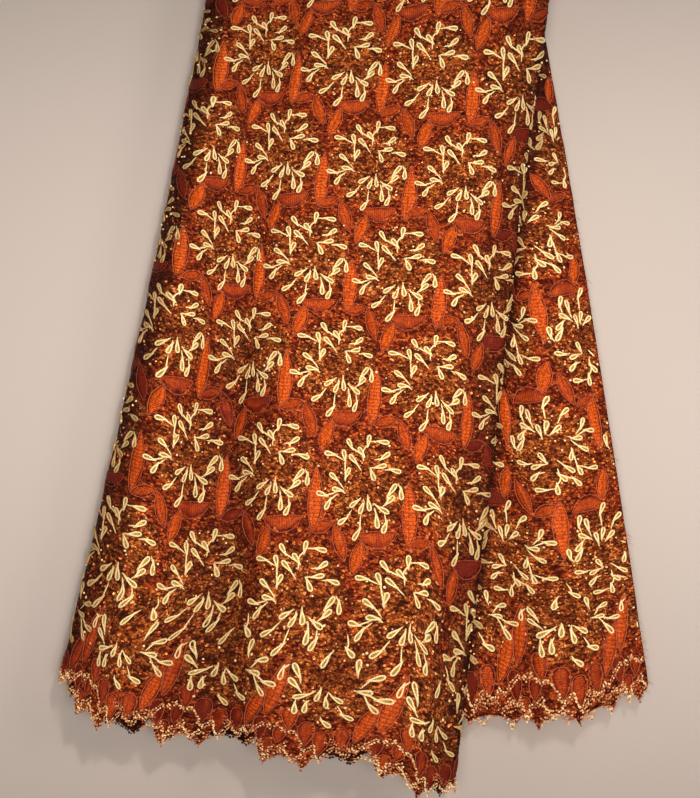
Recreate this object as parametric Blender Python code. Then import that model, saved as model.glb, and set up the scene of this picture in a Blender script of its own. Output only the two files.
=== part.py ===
"""Sequined net lace fabric: one doubled length of cloth that hangs in soft folds.

Lengths are metres, +Z is up, +X is the viewer's right and +Y points away from the viewer.
The origin is the middle of the top edge, by which the cloth is held.

The cloth is folded in half across its width over the top edge, so that both scalloped
selvages hang at the bottom as an outer and an inner layer. The doubled cloth then goes
once around the left side: the front panel is turned under at its right edge, and the
back panel shows beside it.
"""

from typing import NamedTuple

import bmesh
import bpy
import numpy as np

NODE_NAME = "lace_cloth"

# The cloth
CLOTH_THICKNESS = 0.0012
LAYER_GAP_TOP = 0.004
LAYER_GAP_LOW = 0.008
LAYER_RIPPLE = 0.0012
RIPPLE_COUNT = 9

# The scalloped hems, whose first tips lie this far along the cloth from the tucked end
SCALLOP_PITCH = 0.083
SCALLOP_DEPTH = 0.012
OUTER_SCALLOP_START = 0.0186
INNER_SCALLOP_START = 0.0

# Levels below the top edge at which the table gives the plan of the folds
MIDDLE_LEVEL = 0.32
LOW_LEVEL = 0.64

# Mesh steps down one layer and around the top fold
DROP_STEPS = 9
TOP_FOLD_STEPS = 4

# The half-round top fold, whose outer face reaches the origin's height
TOP_RADIUS = LAYER_GAP_TOP / 2
TOP_CENTRE = -(TOP_RADIUS + CLOTH_THICKNESS / 2)

LACE_COLOUR = (0.36, 0.10, 0.03, 1.0)
LACE_ROUGHNESS = 0.8
SMOOTH_ANGLE = np.radians(40.0)


class Turn(NamedTuple):
    """One crest, dip or fold of the doubled cloth, in plan, with its hems and mesh steps."""

    name: str
    top: tuple
    middle: tuple
    low: tuple
    outer_drop: float
    inner_drop: float
    steps: int


# Plan points are (x, y) of the middle of the doubled cloth
TURNS = (
    Turn("tucked end", (-0.040, -0.004), (-0.022, -0.006), (0.006, -0.014), 0.650, 0.653, 4),
    Turn("tucked run", (0.050, -0.004), (0.040, -0.006), (0.030, -0.013), 0.660, 0.663, 5),
    Turn("right fold", (0.135, -0.015), (0.097, -0.021), (0.058, -0.026), 0.680, 0.682, 5),
    Turn("right shoulder", (0.108, -0.026), (0.068, -0.035), (0.036, -0.039), 0.673, 0.677, 4),
    Turn("right crest", (0.058, -0.031), (0.016, -0.040), (0.010, -0.042), 0.657, 0.662, 4),
    Turn("right dip", (0.014, -0.024), (-0.018, -0.036), (-0.030, -0.036), 0.651, 0.656, 5),
    Turn("middle crest", (-0.030, -0.031), (-0.064, -0.040), (-0.074, -0.042), 0.646, 0.651, 5),
    Turn("left dip", (-0.070, -0.024), (-0.134, -0.027), (-0.131, -0.024), 0.634, 0.639, 7),
    Turn("left crest", (-0.110, -0.028), (-0.178, -0.033), (-0.222, -0.034), 0.622, 0.626, 7),
    Turn("left fold", (-0.134, -0.002), (-0.197, -0.006), (-0.272, -0.008), 0.590, 0.592, 6),
    Turn("back crest 1", (-0.112, 0.030), (-0.174, 0.026), (-0.236, 0.020), 0.602, 0.602, 5),
    Turn("back dip 1", (-0.080, 0.008), (-0.128, 0.007), (-0.186, 0.008), 0.610, 0.608, 5),
    Turn("back crest 2", (-0.048, 0.034), (-0.086, 0.029), (-0.130, 0.022), 0.616, 0.613, 5),
    Turn("back dip 2", (-0.016, 0.009), (-0.044, 0.008), (-0.072, 0.007), 0.618, 0.614, 5),
    Turn("back crest 3", (0.016, 0.034), (0.000, 0.029), (-0.014, 0.020), 0.620, 0.615, 5),
    Turn("back dip 3", (0.048, 0.009), (0.042, 0.008), (0.044, 0.007), 0.622, 0.617, 5),
    Turn("back crest 4", (0.078, 0.033), (0.086, 0.024), (0.092, 0.013), 0.623, 0.618, 5),
    Turn("panel dip", (0.104, 0.009), (0.136, 0.003), (0.142, -0.004), 0.624, 0.619, 7),
    Turn("cut end", (0.122, 0.030), (0.176, 0.021), (0.224, 0.021), 0.600, 0.594, 0),
)


def clear_scene():
    """Remove every object of the scene."""
    for item in list(bpy.data.objects):
        bpy.data.objects.remove(item, do_unlink=True)


def lace_material():
    """The plain colour of the lace."""
    material = bpy.data.materials.new("lace")
    material.use_nodes = True
    shader = material.node_tree.nodes["Principled BSDF"]
    shader.inputs["Base Color"].default_value = LACE_COLOUR
    shader.inputs["Roughness"].default_value = LACE_ROUGHNESS
    shader.inputs["Metallic"].default_value = 0.0
    return material


def smooth_row(values, knots):
    """Read a smooth curve through the values of the turns at every mesh step.

    values has a row for each turn. Each stretch between two turns is a cubic whose end
    slopes are the mean of the neighbouring chords, weighted by their lengths.
    """
    lengths = np.diff(knots)[:, None]
    slopes = np.diff(values, axis=0) / lengths
    inner = (slopes[:-1] * lengths[1:] + slopes[1:] * lengths[:-1]) / (lengths[:-1] + lengths[1:])
    tangents = np.vstack([slopes[:1], inner, slopes[-1:]])
    rows = []
    for index, turn in enumerate(TURNS[:-1]):
        t = (np.arange(turn.steps) / turn.steps)[:, None]
        rows.append(
            values[index] * (1 + 2 * t) * (1 - t) ** 2
            + values[index + 1] * t ** 2 * (3 - 2 * t)
            + tangents[index] * lengths[index] * t * (1 - t) ** 2
            - tangents[index + 1] * lengths[index] * t ** 2 * (1 - t)
        )
    rows.append(values[-1:])
    return np.vstack(rows)


def plan_curves():
    """Smooth plan curves at the top, middle and low level, each an array of (x, y)."""
    curves = []
    for level in ("top", "middle", "low"):
        points = np.array([getattr(turn, level) for turn in TURNS])
        chords = np.linalg.norm(np.diff(points, axis=0), axis=1)
        curves.append(smooth_row(points, np.concatenate([[0.0], np.cumsum(chords)])))
    return curves


def along_cloth(curve):
    """Distance along a plan curve from the tucked end."""
    chords = np.linalg.norm(np.diff(curve, axis=0), axis=1)
    return np.concatenate([[0.0], np.cumsum(chords)])


def plan_points(curves, z):
    """Plan point of each column at its height z: a parabola through the three levels."""
    top, middle, low = curves
    depth = -z[:, None]
    return (
        top * (depth - MIDDLE_LEVEL) * (depth - LOW_LEVEL) / (MIDDLE_LEVEL * LOW_LEVEL)
        + middle * depth * (depth - LOW_LEVEL) / (MIDDLE_LEVEL * (MIDDLE_LEVEL - LOW_LEVEL))
        + low * depth * (depth - MIDDLE_LEVEL) / (LOW_LEVEL * (LOW_LEVEL - MIDDLE_LEVEL))
    )


def hem_drops(curves):
    """Drops of the outer and the inner hem at every mesh step, scallops taken off."""
    turns_at = np.cumsum([0] + [turn.steps for turn in TURNS[:-1]]).astype(float)
    drops = np.array([(turn.outer_drop, turn.inner_drop) for turn in TURNS])
    starts = np.array([OUTER_SCALLOP_START, INNER_SCALLOP_START])
    low_curve = curves[-1]
    wave = np.abs(np.cos(np.pi * (along_cloth(low_curve)[:, None] - starts) / SCALLOP_PITCH))
    return smooth_row(drops, turns_at) - SCALLOP_DEPTH * (1 - wave)


def cloth_row(curves, plan_z, reach, z):
    """Row of points that lie off the doubled cloth's middle by reach, outward if positive.

    The plan and its outward direction are read at the heights plan_z, and the points
    themselves lie at the heights z.
    """
    plan = plan_points(curves, plan_z)
    run = np.gradient(plan, axis=0)
    run /= np.linalg.norm(run, axis=1)[:, None]
    outward = np.stack([-run[:, 1], run[:, 0]], axis=1)
    return np.column_stack([plan + outward * reach[:, None], z])


def layer_rows(curves, drops, side, offset):
    """Rows of one face of a layer, from below the top fold down to its hem.

    The gap between the layers widens and ripples a little toward the hem. side is 1 for
    the outer layer and -1 for the inner one, and offset moves the face off its middle.
    """
    turn_of_ripple = np.linspace(0.0, 2 * np.pi * RIPPLE_COUNT, len(drops))
    widening = (LAYER_GAP_LOW - LAYER_GAP_TOP) / 2 + LAYER_RIPPLE * np.sin(turn_of_ripple)
    rows = []
    for fraction in np.linspace(0.0, 1.0, DROP_STEPS + 1)[1:]:
        z = TOP_CENTRE - fraction * (drops + TOP_CENTRE)
        half_gap = TOP_RADIUS + widening * (TOP_CENTRE - z) / LOW_LEVEL
        rows.append(cloth_row(curves, z, side * (half_gap + offset), z))
    return rows


def top_fold_rows(curves, offset):
    """Rows of one face around the half-round top fold, from the outer to the inner layer."""
    columns = len(curves[0])
    plan_z = np.full(columns, TOP_CENTRE)
    radius = TOP_RADIUS + offset
    rows = []
    for angle in np.linspace(0.0, np.pi, TOP_FOLD_STEPS + 1):
        reach = np.full(columns, radius * np.cos(angle))
        rows.append(cloth_row(curves, plan_z, reach, plan_z + radius * np.sin(angle)))
    return rows


def cloth_face(curves, offset):
    """Grid of points of one face of the cloth, offset from the middle of its thickness.

    The rows of the grid run from the outer hem up, around the top fold and down to the
    inner hem. The columns follow the plan curve from the tucked end to the cut end.
    """
    outer_drops, inner_drops = hem_drops(curves).T
    outer = layer_rows(curves, outer_drops, 1.0, offset)
    inner = layer_rows(curves, inner_drops, -1.0, offset)
    return np.array(outer[::-1] + top_fold_rows(curves, offset) + inner)


def grid_faces(rows, columns, start):
    """Quads of a grid of vertices that starts at one index."""
    index = start + np.arange(rows * columns).reshape(rows, columns)
    corners = (index[:-1, :-1], index[:-1, 1:], index[1:, 1:], index[1:, :-1])
    return np.stack(corners, axis=-1).reshape(-1, 4)


def rim_faces(rows, columns):
    """Quads that join the edges of the outer grid to those of the inner grid."""
    index = np.arange(rows * columns).reshape(rows, columns)
    loop = np.concatenate([index[0, :-1], index[:-1, -1], index[-1, :0:-1], index[:0:-1, 0]])
    following = np.roll(loop, -1)
    return np.stack([loop, following, following + index.size, loop + index.size], axis=-1)


def lace_cloth():
    """The whole cloth as one closed sheet."""
    curves = plan_curves()
    outside = cloth_face(curves, CLOTH_THICKNESS / 2)
    inside = cloth_face(curves, -CLOTH_THICKNESS / 2)
    rows, columns = outside.shape[:2]
    vertices = np.concatenate([outside.reshape(-1, 3), inside.reshape(-1, 3)])
    faces = np.concatenate([
        grid_faces(rows, columns, 0),
        grid_faces(rows, columns, rows * columns),
        rim_faces(rows, columns),
    ])
    mesh = bpy.data.meshes.new(NODE_NAME)
    mesh.from_pydata(vertices.tolist(), [], faces.tolist())
    shell = bmesh.new()
    shell.from_mesh(mesh)
    bmesh.ops.recalc_face_normals(shell, faces=shell.faces)
    shell.to_mesh(mesh)
    shell.free()
    mesh.shade_smooth()
    mesh.set_sharp_from_angle(angle=SMOOTH_ANGLE)
    cloth = bpy.data.objects.new(NODE_NAME, mesh)
    cloth.data.materials.append(lace_material())
    bpy.context.scene.collection.objects.link(cloth)
    return cloth


clear_scene()
lace_cloth()
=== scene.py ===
"""The looks of a doubled length of sequined net lace that hangs in soft folds from its top edge.

Every piece is laid out on the flat cloth first, in metres: u runs along the cloth from its left fold,
v runs up from the outer hem, over the top fold and down to the inner hem, and lift is the height above
the net. hang() then carries the points to the folds of the hanging cloth.
"""
from typing import NamedTuple

import bpy
import numpy as np
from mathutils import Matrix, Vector


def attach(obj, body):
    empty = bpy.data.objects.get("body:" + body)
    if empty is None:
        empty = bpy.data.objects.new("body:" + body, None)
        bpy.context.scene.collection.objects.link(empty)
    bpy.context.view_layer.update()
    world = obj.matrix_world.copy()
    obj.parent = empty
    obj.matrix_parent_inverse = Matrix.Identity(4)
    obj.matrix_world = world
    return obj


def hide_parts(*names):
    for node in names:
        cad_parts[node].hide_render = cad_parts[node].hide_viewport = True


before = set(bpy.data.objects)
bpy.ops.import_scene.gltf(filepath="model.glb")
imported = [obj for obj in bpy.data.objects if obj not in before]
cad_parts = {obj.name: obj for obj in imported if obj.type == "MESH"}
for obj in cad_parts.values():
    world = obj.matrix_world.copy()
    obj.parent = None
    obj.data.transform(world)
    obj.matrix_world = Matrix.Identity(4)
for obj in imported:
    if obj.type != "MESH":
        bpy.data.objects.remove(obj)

bl_info = {
    "name": "Sequined Net Lace",
    "version": (1, 0, 0),
    "blender": (4, 5, 0),
    "location": "3D View > Sidebar > Lace",
    "description": "Corded and sequined net lace that hangs doubled from its top edge",
    "category": "Object",
}

# The hanging cloth, as in its solid
TOP_RADIUS = 0.002
TOP_CENTRE = -0.0026
LAYER_GAP_TOP = 0.004
LAYER_GAP_LOW = 0.008
LAYER_RIPPLE = 0.0012
RIPPLE_COUNT = 9
MIDDLE_LEVEL = 0.32
LOW_LEVEL = 0.64
LOWEST_LEVEL = 0.72
LEVEL_COUNT = 145
SAMPLES_PER_TURN = 40
# The flat cloth
CLOTH_WIDTH = 1.32
HALF_WIDTH = CLOTH_WIDTH / 2
# The flowers' repeat along and across the cloth, and where along a repeat the flowers stand
REPEAT_LENGTH = 0.077
ROW_STEP = 0.0888
ROW_COUNT = 6
ODD_PHASE = 0.12
EVEN_PHASE = 0.62
BORDER_HEIGHT = 0.076
# Columns between which flowers and beads are laid out, a little past the cloth's ends
FIRST_COLUMN = -5.4
LAST_COLUMN = 6.4
# The net's first guess of its first column and of how many there are, the rounds that mend it, and how
# far the net stays inside the beads of its edge
GUESSED_START = -5.0
GUESSED_SPAN = 10.9
GUESS_ROUNDS = 4
BARE_EDGE = 0.0008
# The hem: where along a repeat its low tips lie, how far they and the step above them reach, how high
# the step and the teeth are, and how much plainer and higher a layer hangs behind the other
OUTER_TIP_PHASE = 0.37
INNER_TIP_PHASE = 0.98
TIP_REACH = 0.20
STEP_REACH = 0.12
SCALLOP_RISE = 0.019
INNER_SCALLOP_SHARE = 0.40
TOOTH_HEIGHT = 0.0090
PLAIN_TOOTH_HEIGHT = 0.0030
BEHIND_RISE = 0.010
BEAD_STEP = 0.0017
# How high above the net the sewn pieces start, and how far they rise
CORD_LIFT = 0.0009
CORD_ARCH = 0.0004
STEM_LIFT = 0.0007
FILLING_LIFT = 0.0006
FILLING_INSET = 0.0004
PAD_LIFT = 0.0004
PAD_DOME = 0.0011
CONTOUR_LIFT = 0.0009
FLOWER_BEAD_LIFT = 0.0016
ZIGZAG_LIFT = 0.0012
EDGE_BEAD_LIFT = 0.0006
# How far from the cloth's cut ends the sewing stops, and how much painted fold shade darkens it
END_MARGIN = 0.0012
PAINTED_FOLD_SHADE = 0.9
# A bud's usual length in millimetres, as a multiple of the way from tip to base and between two limits
BUD_STRETCH = 1.12
BUD_LENGTHS = (10.0, 12.5)
FILLING_CORNERS = 8
# How far in millimetres a stem runs into its bud, and its width from there on as a share of the cord's
STEM_OVERLAP = 2.2
STEM_TAPER = (0.6, 1.0, 0.95, 0.86, 0.7, 0.35)
# Points along a leaf, across it, and of the thread round it
LEAF_STEPS = (8, 5)
CONTOUR_POINTS = 16
# How far round a flower its sequins and its beads are scattered
SEQUIN_REACH = 0.036
BEAD_REACH = 0.038
# How much nearer than the mean the rows lie at the top
TOP_CROWDING = 0.16
# Length of one repeat on the hanging folds at the top edge, and how it grows per metre down
FRONT_REPEAT = (0.0710, 0.0142)
BACK_REPEAT = (0.0615, 0.0410)
COLUMN_RANGE = (-6.8, 6.4)
# How far the rows slip down the folds, by the share of the way to the hem: the front's tilt along the
# cloth is weighted and its rows shifted, and so are the inner layer's
SLIP_SHARES = (0.0, 0.13, 0.27, 0.40, 0.54, 0.67, 0.80, 0.90, 1.0)
OUTER_TILT = ((-4.6, -3.4, 0.0, 2.0), (0.0245, 0.0165, -0.0060, 0.0))
OUTER_TILT_SHARE = (0.0, 0.95, 1.05, 0.95, 0.95, 0.40, 0.50, 0.66, 0.0)
OUTER_SHIFT = (0.0, 0.0, 0.0, -0.0008, -0.0062, -0.0016, -0.0008, 0.0048, 0.0)
INNER_TILT = ((2.0, 4.0, 5.12, 6.0), (0.0, -0.0143, 0.0, 0.0113))
INNER_TILT_SHARE = (0.0, 0.7, 1.0, 1.0, 1.0, 1.0, 1.0, 0.6, 0.0)
INNER_SHIFT = (0.0, 0.0, 0.0, -0.0070, -0.0040, 0.0, 0.0, -0.0100, 0.0)
# How far the columns are pushed along near the hem
HEM_BUMPS = (
    (-4.9, -3.9, -2.9, -1.9, -0.8, 0.0, 4.2, 5.2, 6.2),
    (0.0, 0.18, -0.04, -0.11, -0.26, 0.0, 0.0, -0.06, 0.0))
HEM_BUMPS_START = 0.82
HEM_BUMPS_BLEND = 0.05
# How far the columns are pushed along by the left fold high up, and by the right fold low down
HIGH_PUSH = ((-1.5, -0.53, 1.1), (0.0, 0.15, 0.0))
HIGH_PUSH_END = 0.50
HIGH_PUSH_BLEND = 0.15
LOW_PUSH = ((-4.6, -3.55, -2.4), (0.0, 0.17, 0.0))
LOW_PUSH_DEPTHS = ((0.42, 0.52, 0.60), (0.0, 1.0, 0.2))
COLUMN_SAMPLES = 1600
MILLIMETRE = 0.001
# Painted fold shade: where the net turns far enough from the front to take it, over how much more of a
# turn, how deep a valley takes the most of it, and how far past the right fold the painted shadow on the
# panel's inner layer reaches
TURN_START = 0.16
TURN_SPAN = 0.62
TURN_POWER = 1.2
VALLEY_DEPTH = 0.0110
VALLEY_SHARE = 0.5
INNER_SHARE = 0.15
EDGE_REACH = 0.0105
EDGE_BLEND = 0.003
# How far from the top fold the net's puckers grow to their full height
PUCKER_START = 0.03
# The stage: the floor and the wall, and the place that the lamps in front shine at
FLOOR_LEVEL = -0.80
WALL_DEPTH = 0.0445
AIM = (0.13, 0.0, -0.36)
WARM_LIGHT = (1.0, 0.94, 0.86)
SENSOR_WIDTH = 36.0
VIEW_HEIGHT = 0.6384
VIEW_DISTANCE = 2.965


class Turn(NamedTuple):
    """One turn of the folds: its plan at three levels and how far each layer drops there."""

    name: str
    top: tuple
    middle: tuple
    low: tuple
    outer_drop: float
    inner_drop: float


TURNS = (
    Turn("tucked end", (-0.040, -0.004), (-0.022, -0.006), (0.006, -0.014), 0.650, 0.653),
    Turn("tucked run", (0.050, -0.004), (0.040, -0.006), (0.030, -0.013), 0.660, 0.663),
    Turn("right fold", (0.135, -0.015), (0.097, -0.021), (0.058, -0.026), 0.680, 0.682),
    Turn("right shoulder", (0.108, -0.026), (0.068, -0.035), (0.036, -0.039), 0.673, 0.677),
    Turn("right crest", (0.058, -0.031), (0.016, -0.040), (0.010, -0.042), 0.657, 0.662),
    Turn("right dip", (0.014, -0.024), (-0.018, -0.036), (-0.030, -0.036), 0.651, 0.656),
    Turn("middle crest", (-0.030, -0.031), (-0.064, -0.040), (-0.074, -0.042), 0.646, 0.651),
    Turn("left dip", (-0.070, -0.024), (-0.134, -0.027), (-0.131, -0.024), 0.634, 0.639),
    Turn("left crest", (-0.110, -0.028), (-0.178, -0.033), (-0.222, -0.034), 0.622, 0.626),
    Turn("left fold", (-0.134, -0.002), (-0.197, -0.006), (-0.272, -0.008), 0.590, 0.592),
    Turn("back crest 1", (-0.112, 0.030), (-0.174, 0.026), (-0.236, 0.020), 0.602, 0.602),
    Turn("back dip 1", (-0.080, 0.008), (-0.128, 0.007), (-0.186, 0.008), 0.610, 0.608),
    Turn("back crest 2", (-0.048, 0.034), (-0.086, 0.029), (-0.130, 0.022), 0.616, 0.613),
    Turn("back dip 2", (-0.016, 0.009), (-0.044, 0.008), (-0.072, 0.007), 0.618, 0.614),
    Turn("back crest 3", (0.016, 0.034), (0.000, 0.029), (-0.014, 0.020), 0.620, 0.615),
    Turn("back dip 3", (0.048, 0.009), (0.042, 0.008), (0.044, 0.007), 0.622, 0.617),
    Turn("back crest 4", (0.078, 0.033), (0.086, 0.024), (0.092, 0.013), 0.623, 0.618),
    Turn("panel dip", (0.104, 0.009), (0.136, 0.003), (0.142, -0.004), 0.624, 0.619),
    Turn("cut end", (0.122, 0.030), (0.176, 0.021), (0.224, 0.021), 0.600, 0.594),
)
LEFT_FOLD = 9


class FoldTable(NamedTuple):
    """The folds read off by level and column: x, y, outward x, outward y and ripple, and the ends."""

    channels: np.ndarray
    first_column: np.ndarray
    last_column: np.ndarray
    columns: np.ndarray
    outer_drop: np.ndarray
    inner_drop: np.ndarray


def smooth_row(values, knots):
    """Cubic curve through the knots, its slope at a knot the mean of the slopes beside it."""
    lengths = np.diff(knots)[:, None]
    slopes = np.diff(values, axis=0) / lengths
    inner = (slopes[:-1] * lengths[1:] + slopes[1:] * lengths[:-1]) / (lengths[:-1] + lengths[1:])
    tangents = np.vstack([slopes[:1], inner, slopes[-1:]])[:, None]
    t = (np.arange(SAMPLES_PER_TURN) / SAMPLES_PER_TURN)[None, :, None]
    start = values[:-1, None] * (1 + 2 * t) * (1 - t) ** 2
    finish = values[1:, None] * t ** 2 * (3 - 2 * t)
    bend = tangents[:-1] * t * (1 - t) ** 2 - tangents[1:] * t ** 2 * (1 - t)
    rows = start + finish + bend * lengths[:, None]
    return np.vstack([rows.reshape(-1, values.shape[1]), values[-1:]])


def fold_table():
    """The plan curve at each level, a parabola in depth through the three given ones, with the columns
    counted off along it from the left fold and pushed a little where the pattern is."""
    curves = []
    for level in ("top", "middle", "low"):
        points = np.array([getattr(turn, level) for turn in TURNS])
        knots = np.append(0.0, np.cumsum(np.linalg.norm(np.diff(points, axis=0), axis=1)))
        curves.append(smooth_row(points, knots))
    top, middle, low = curves
    depth = np.linspace(0.0, LOWEST_LEVEL, LEVEL_COUNT)[:, None, None]
    plan = (
        top * (depth - MIDDLE_LEVEL) * (depth - LOW_LEVEL) / (MIDDLE_LEVEL * LOW_LEVEL)
        + middle * depth * (depth - LOW_LEVEL) / (MIDDLE_LEVEL * (MIDDLE_LEVEL - LOW_LEVEL))
        + low * depth * (depth - MIDDLE_LEVEL) / (LOW_LEVEL * (LOW_LEVEL - MIDDLE_LEVEL))
    )
    steps = np.linalg.norm(np.diff(plan, axis=1), axis=2)
    arc = np.hstack([np.zeros((LEVEL_COUNT, 1)), np.cumsum(steps, axis=1)])
    arc -= arc[:, LEFT_FOLD * SAMPLES_PER_TURN][:, None]
    front = FRONT_REPEAT[0] + FRONT_REPEAT[1] * depth[:, :, 0]
    back = BACK_REPEAT[0] + BACK_REPEAT[1] * depth[:, :, 0]
    column = np.where(arc < 0, arc / front, arc / back)
    high = np.clip((HIGH_PUSH_END - depth[:, :, 0]) / HIGH_PUSH_BLEND, 0, 1)
    low_down = np.interp(depth[:, :, 0], *LOW_PUSH_DEPTHS)
    column = column + high * np.interp(column, *HIGH_PUSH)
    column = column + low_down * np.interp(column, *LOW_PUSH)
    low_index = round(LOW_LEVEL / LOWEST_LEVEL * (LEVEL_COUNT - 1))
    turns_at = arc[low_index, ::SAMPLES_PER_TURN]
    drops = smooth_row(np.array([[turn.outer_drop, turn.inner_drop] for turn in TURNS]), turns_at)
    share = depth[:, :, 0] / np.interp(column, column[low_index], drops[:, 0])
    near_hem = np.clip((share - HEM_BUMPS_START) / HEM_BUMPS_BLEND, 0, 1)
    column = column + near_hem * np.interp(column, *HEM_BUMPS)
    run = np.gradient(plan, axis=1)
    run /= np.linalg.norm(run, axis=2)[:, :, None]
    ripple = np.sin(np.linspace(0, 2 * np.pi * RIPPLE_COUNT, plan.shape[1]))
    columns = np.linspace(*COLUMN_RANGE, COLUMN_SAMPLES)
    channels = np.empty((LEVEL_COUNT, COLUMN_SAMPLES, 5))
    for index in range(LEVEL_COUNT):
        sources = (plan[index, :, 0], plan[index, :, 1], -run[index, :, 1], run[index, :, 0], ripple)
        for channel, source in enumerate(sources):
            channels[index, :, channel] = np.interp(columns, column[index], source)
    outer = np.interp(columns, column[low_index], drops[:, 0])
    inner = np.interp(columns, column[low_index], drops[:, 1])
    return FoldTable(channels, column[:, 0], column[:, -1], columns, outer, inner)


FOLDS = fold_table()
# How far right the front reaches at each level
RIGHT_EDGE = FOLDS.channels[:, FOLDS.columns < 0, 0].max(axis=1)


class Sway(NamedTuple):
    """A fold that both layers make together, from one column and depth to another: how far it spreads
    to each side and how far it stands out."""

    start: tuple
    finish: tuple
    spread: float
    height: float


SWAYS = (
    Sway((-1.15, 0.28), (-1.85, 0.66), 0.36, -0.0112),
    Sway((-0.85, 0.05), (-1.15, 0.34), 0.35, -0.0035),
    Sway((-0.50, 0.24), (-0.90, 0.64), 0.26, 0.0022),
    Sway((-2.85, 0.16), (-2.75, 0.64), 0.50, 0.0030),
    Sway((-4.05, 0.05), (-3.95, 0.70), 0.24, -0.0050),
    Sway((4.95, 0.20), (5.05, 0.66), 0.25, -0.0030),
)


def sway(column, depth):
    """Sum over the folds of a bell across each line, tapered to nothing at both ends."""
    total = np.zeros(np.broadcast(column, depth).shape)
    for fold in SWAYS:
        along = (depth - fold.start[1]) / (fold.finish[1] - fold.start[1])
        middle = fold.start[0] + (fold.finish[0] - fold.start[0]) * np.clip(along, 0, 1)
        ends = np.clip(1.3 * (1 - np.abs(2 * along - 1) ** 3), 0, 1)
        ends = np.where(along > 0.5, np.clip(1.5 - np.clip(along - 0.8, 0, None) * 2, 0, 1), ends)
        total += fold.height * ends * np.exp(-((column - middle) / fold.spread) ** 2)
    return total


class Crease(NamedTuple):
    """A soft ridge or trough from one place on the flat cloth to another, in repeats and metres."""

    start: tuple
    finish: tuple
    spread: float
    height: float


CREASES = (
    Crease((-1.35, 0.30), (-0.85, 0.02), 0.010, -0.0035),
    Crease((-0.75, 0.36), (-0.35, 0.06), 0.009, 0.0022),
    Crease((-2.60, 0.60), (-2.20, 0.24), 0.012, 0.0022),
    Crease((-3.30, 0.44), (-3.05, 0.02), 0.010, -0.0024),
    Crease((-1.70, 0.56), (-1.10, 0.34), 0.010, -0.0018),
    Crease((-3.85, 0.62), (-3.70, 0.30), 0.009, 0.0016),
    Crease((-2.10, 0.22), (-1.75, 0.02), 0.009, 0.0020),
    Crease((4.75, 0.80), (5.05, 1.28), 0.010, -0.0022),
    Crease((5.30, 0.74), (5.55, 1.18), 0.009, 0.0018),
    Crease((1.10, 0.52), (1.40, 0.06), 0.011, 0.0020),
    Crease((3.10, 0.58), (2.90, 0.12), 0.011, -0.0022),
)


def pucker(u, v):
    """Sum of slow waves along and across the cloth, and of each crease's bell of height over its line."""
    height = 0.0004 * np.sin(u * 118 + 2.1 * np.sin(v * 23)) * np.sin(v * 97 + 1.7 * np.sin(u * 31))
    height += 0.0003 * np.sin(u * 205 - v * 61 + 1.3) * np.sin(v * 171 + 0.6)
    for crease in CREASES:
        start = np.array([crease.start[0] * REPEAT_LENGTH, crease.start[1]])
        line = np.array([crease.finish[0] * REPEAT_LENGTH, crease.finish[1]]) - start
        along = ((u - start[0]) * line[0] + (v - start[1]) * line[1]) / (line @ line)
        off = ((u - start[0]) * line[1] - (v - start[1]) * line[0]) / np.sqrt(line @ line)
        ends = np.clip(1 - (2 * along - 1) ** 2, 0, None) ** 0.7
        height += crease.height * ends * np.exp(-(off / crease.spread) ** 2)
    return height


def read_folds(column, depth):
    """Values of the fold table between its levels and columns, each the mean of the four beside it."""
    row = np.clip(depth / LOWEST_LEVEL * (LEVEL_COUNT - 1), 0, LEVEL_COUNT - 1.001)
    span = COLUMN_RANGE[1] - COLUMN_RANGE[0]
    place = np.clip((column - COLUMN_RANGE[0]) / span * (COLUMN_SAMPLES - 1), 0, COLUMN_SAMPLES - 1.001)
    i = row.astype(int)
    j = place.astype(int)
    s = (row - i)[..., None]
    t = (place - j)[..., None]
    near = FOLDS.channels[i, j] * (1 - t) + FOLDS.channels[i, j + 1] * t
    far = FOLDS.channels[i + 1, j] * (1 - t) + FOLDS.channels[i + 1, j + 1] * t
    return near * (1 - s) + far * s


def fall_to(u, v):
    """Height in the room, level with the net: rows crowd a little at the top and spread at the hem."""
    from_top = np.abs(HALF_WIDTH - v)
    quarter = TOP_RADIUS * np.pi / 2
    share = np.clip((from_top - quarter) / (HALF_WIDTH - quarter), 0, None)
    column = u / REPEAT_LENGTH
    outer_slip = np.interp(column, *OUTER_TILT) * np.interp(share, SLIP_SHARES, OUTER_TILT_SHARE)
    outer_slip = outer_slip + np.interp(share, SLIP_SHARES, OUTER_SHIFT)
    inner_slip = np.interp(column, *INNER_TILT) * np.interp(share, SLIP_SHARES, INNER_TILT_SHARE)
    inner_slip = inner_slip + np.interp(share, SLIP_SHARES, INNER_SHIFT)
    outer = np.interp(column, FOLDS.columns, FOLDS.outer_drop)
    inner = np.interp(column, FOLDS.columns, FOLDS.inner_drop)
    drop = np.where(v <= HALF_WIDTH, outer, inner)
    slip = np.where(v <= HALF_WIDTH, outer_slip, inner_slip)
    share = share * (1 - TOP_CROWDING) + TOP_CROWDING * share ** 2
    return TOP_CENTRE - share * (drop + TOP_CENTRE) - slip


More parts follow.
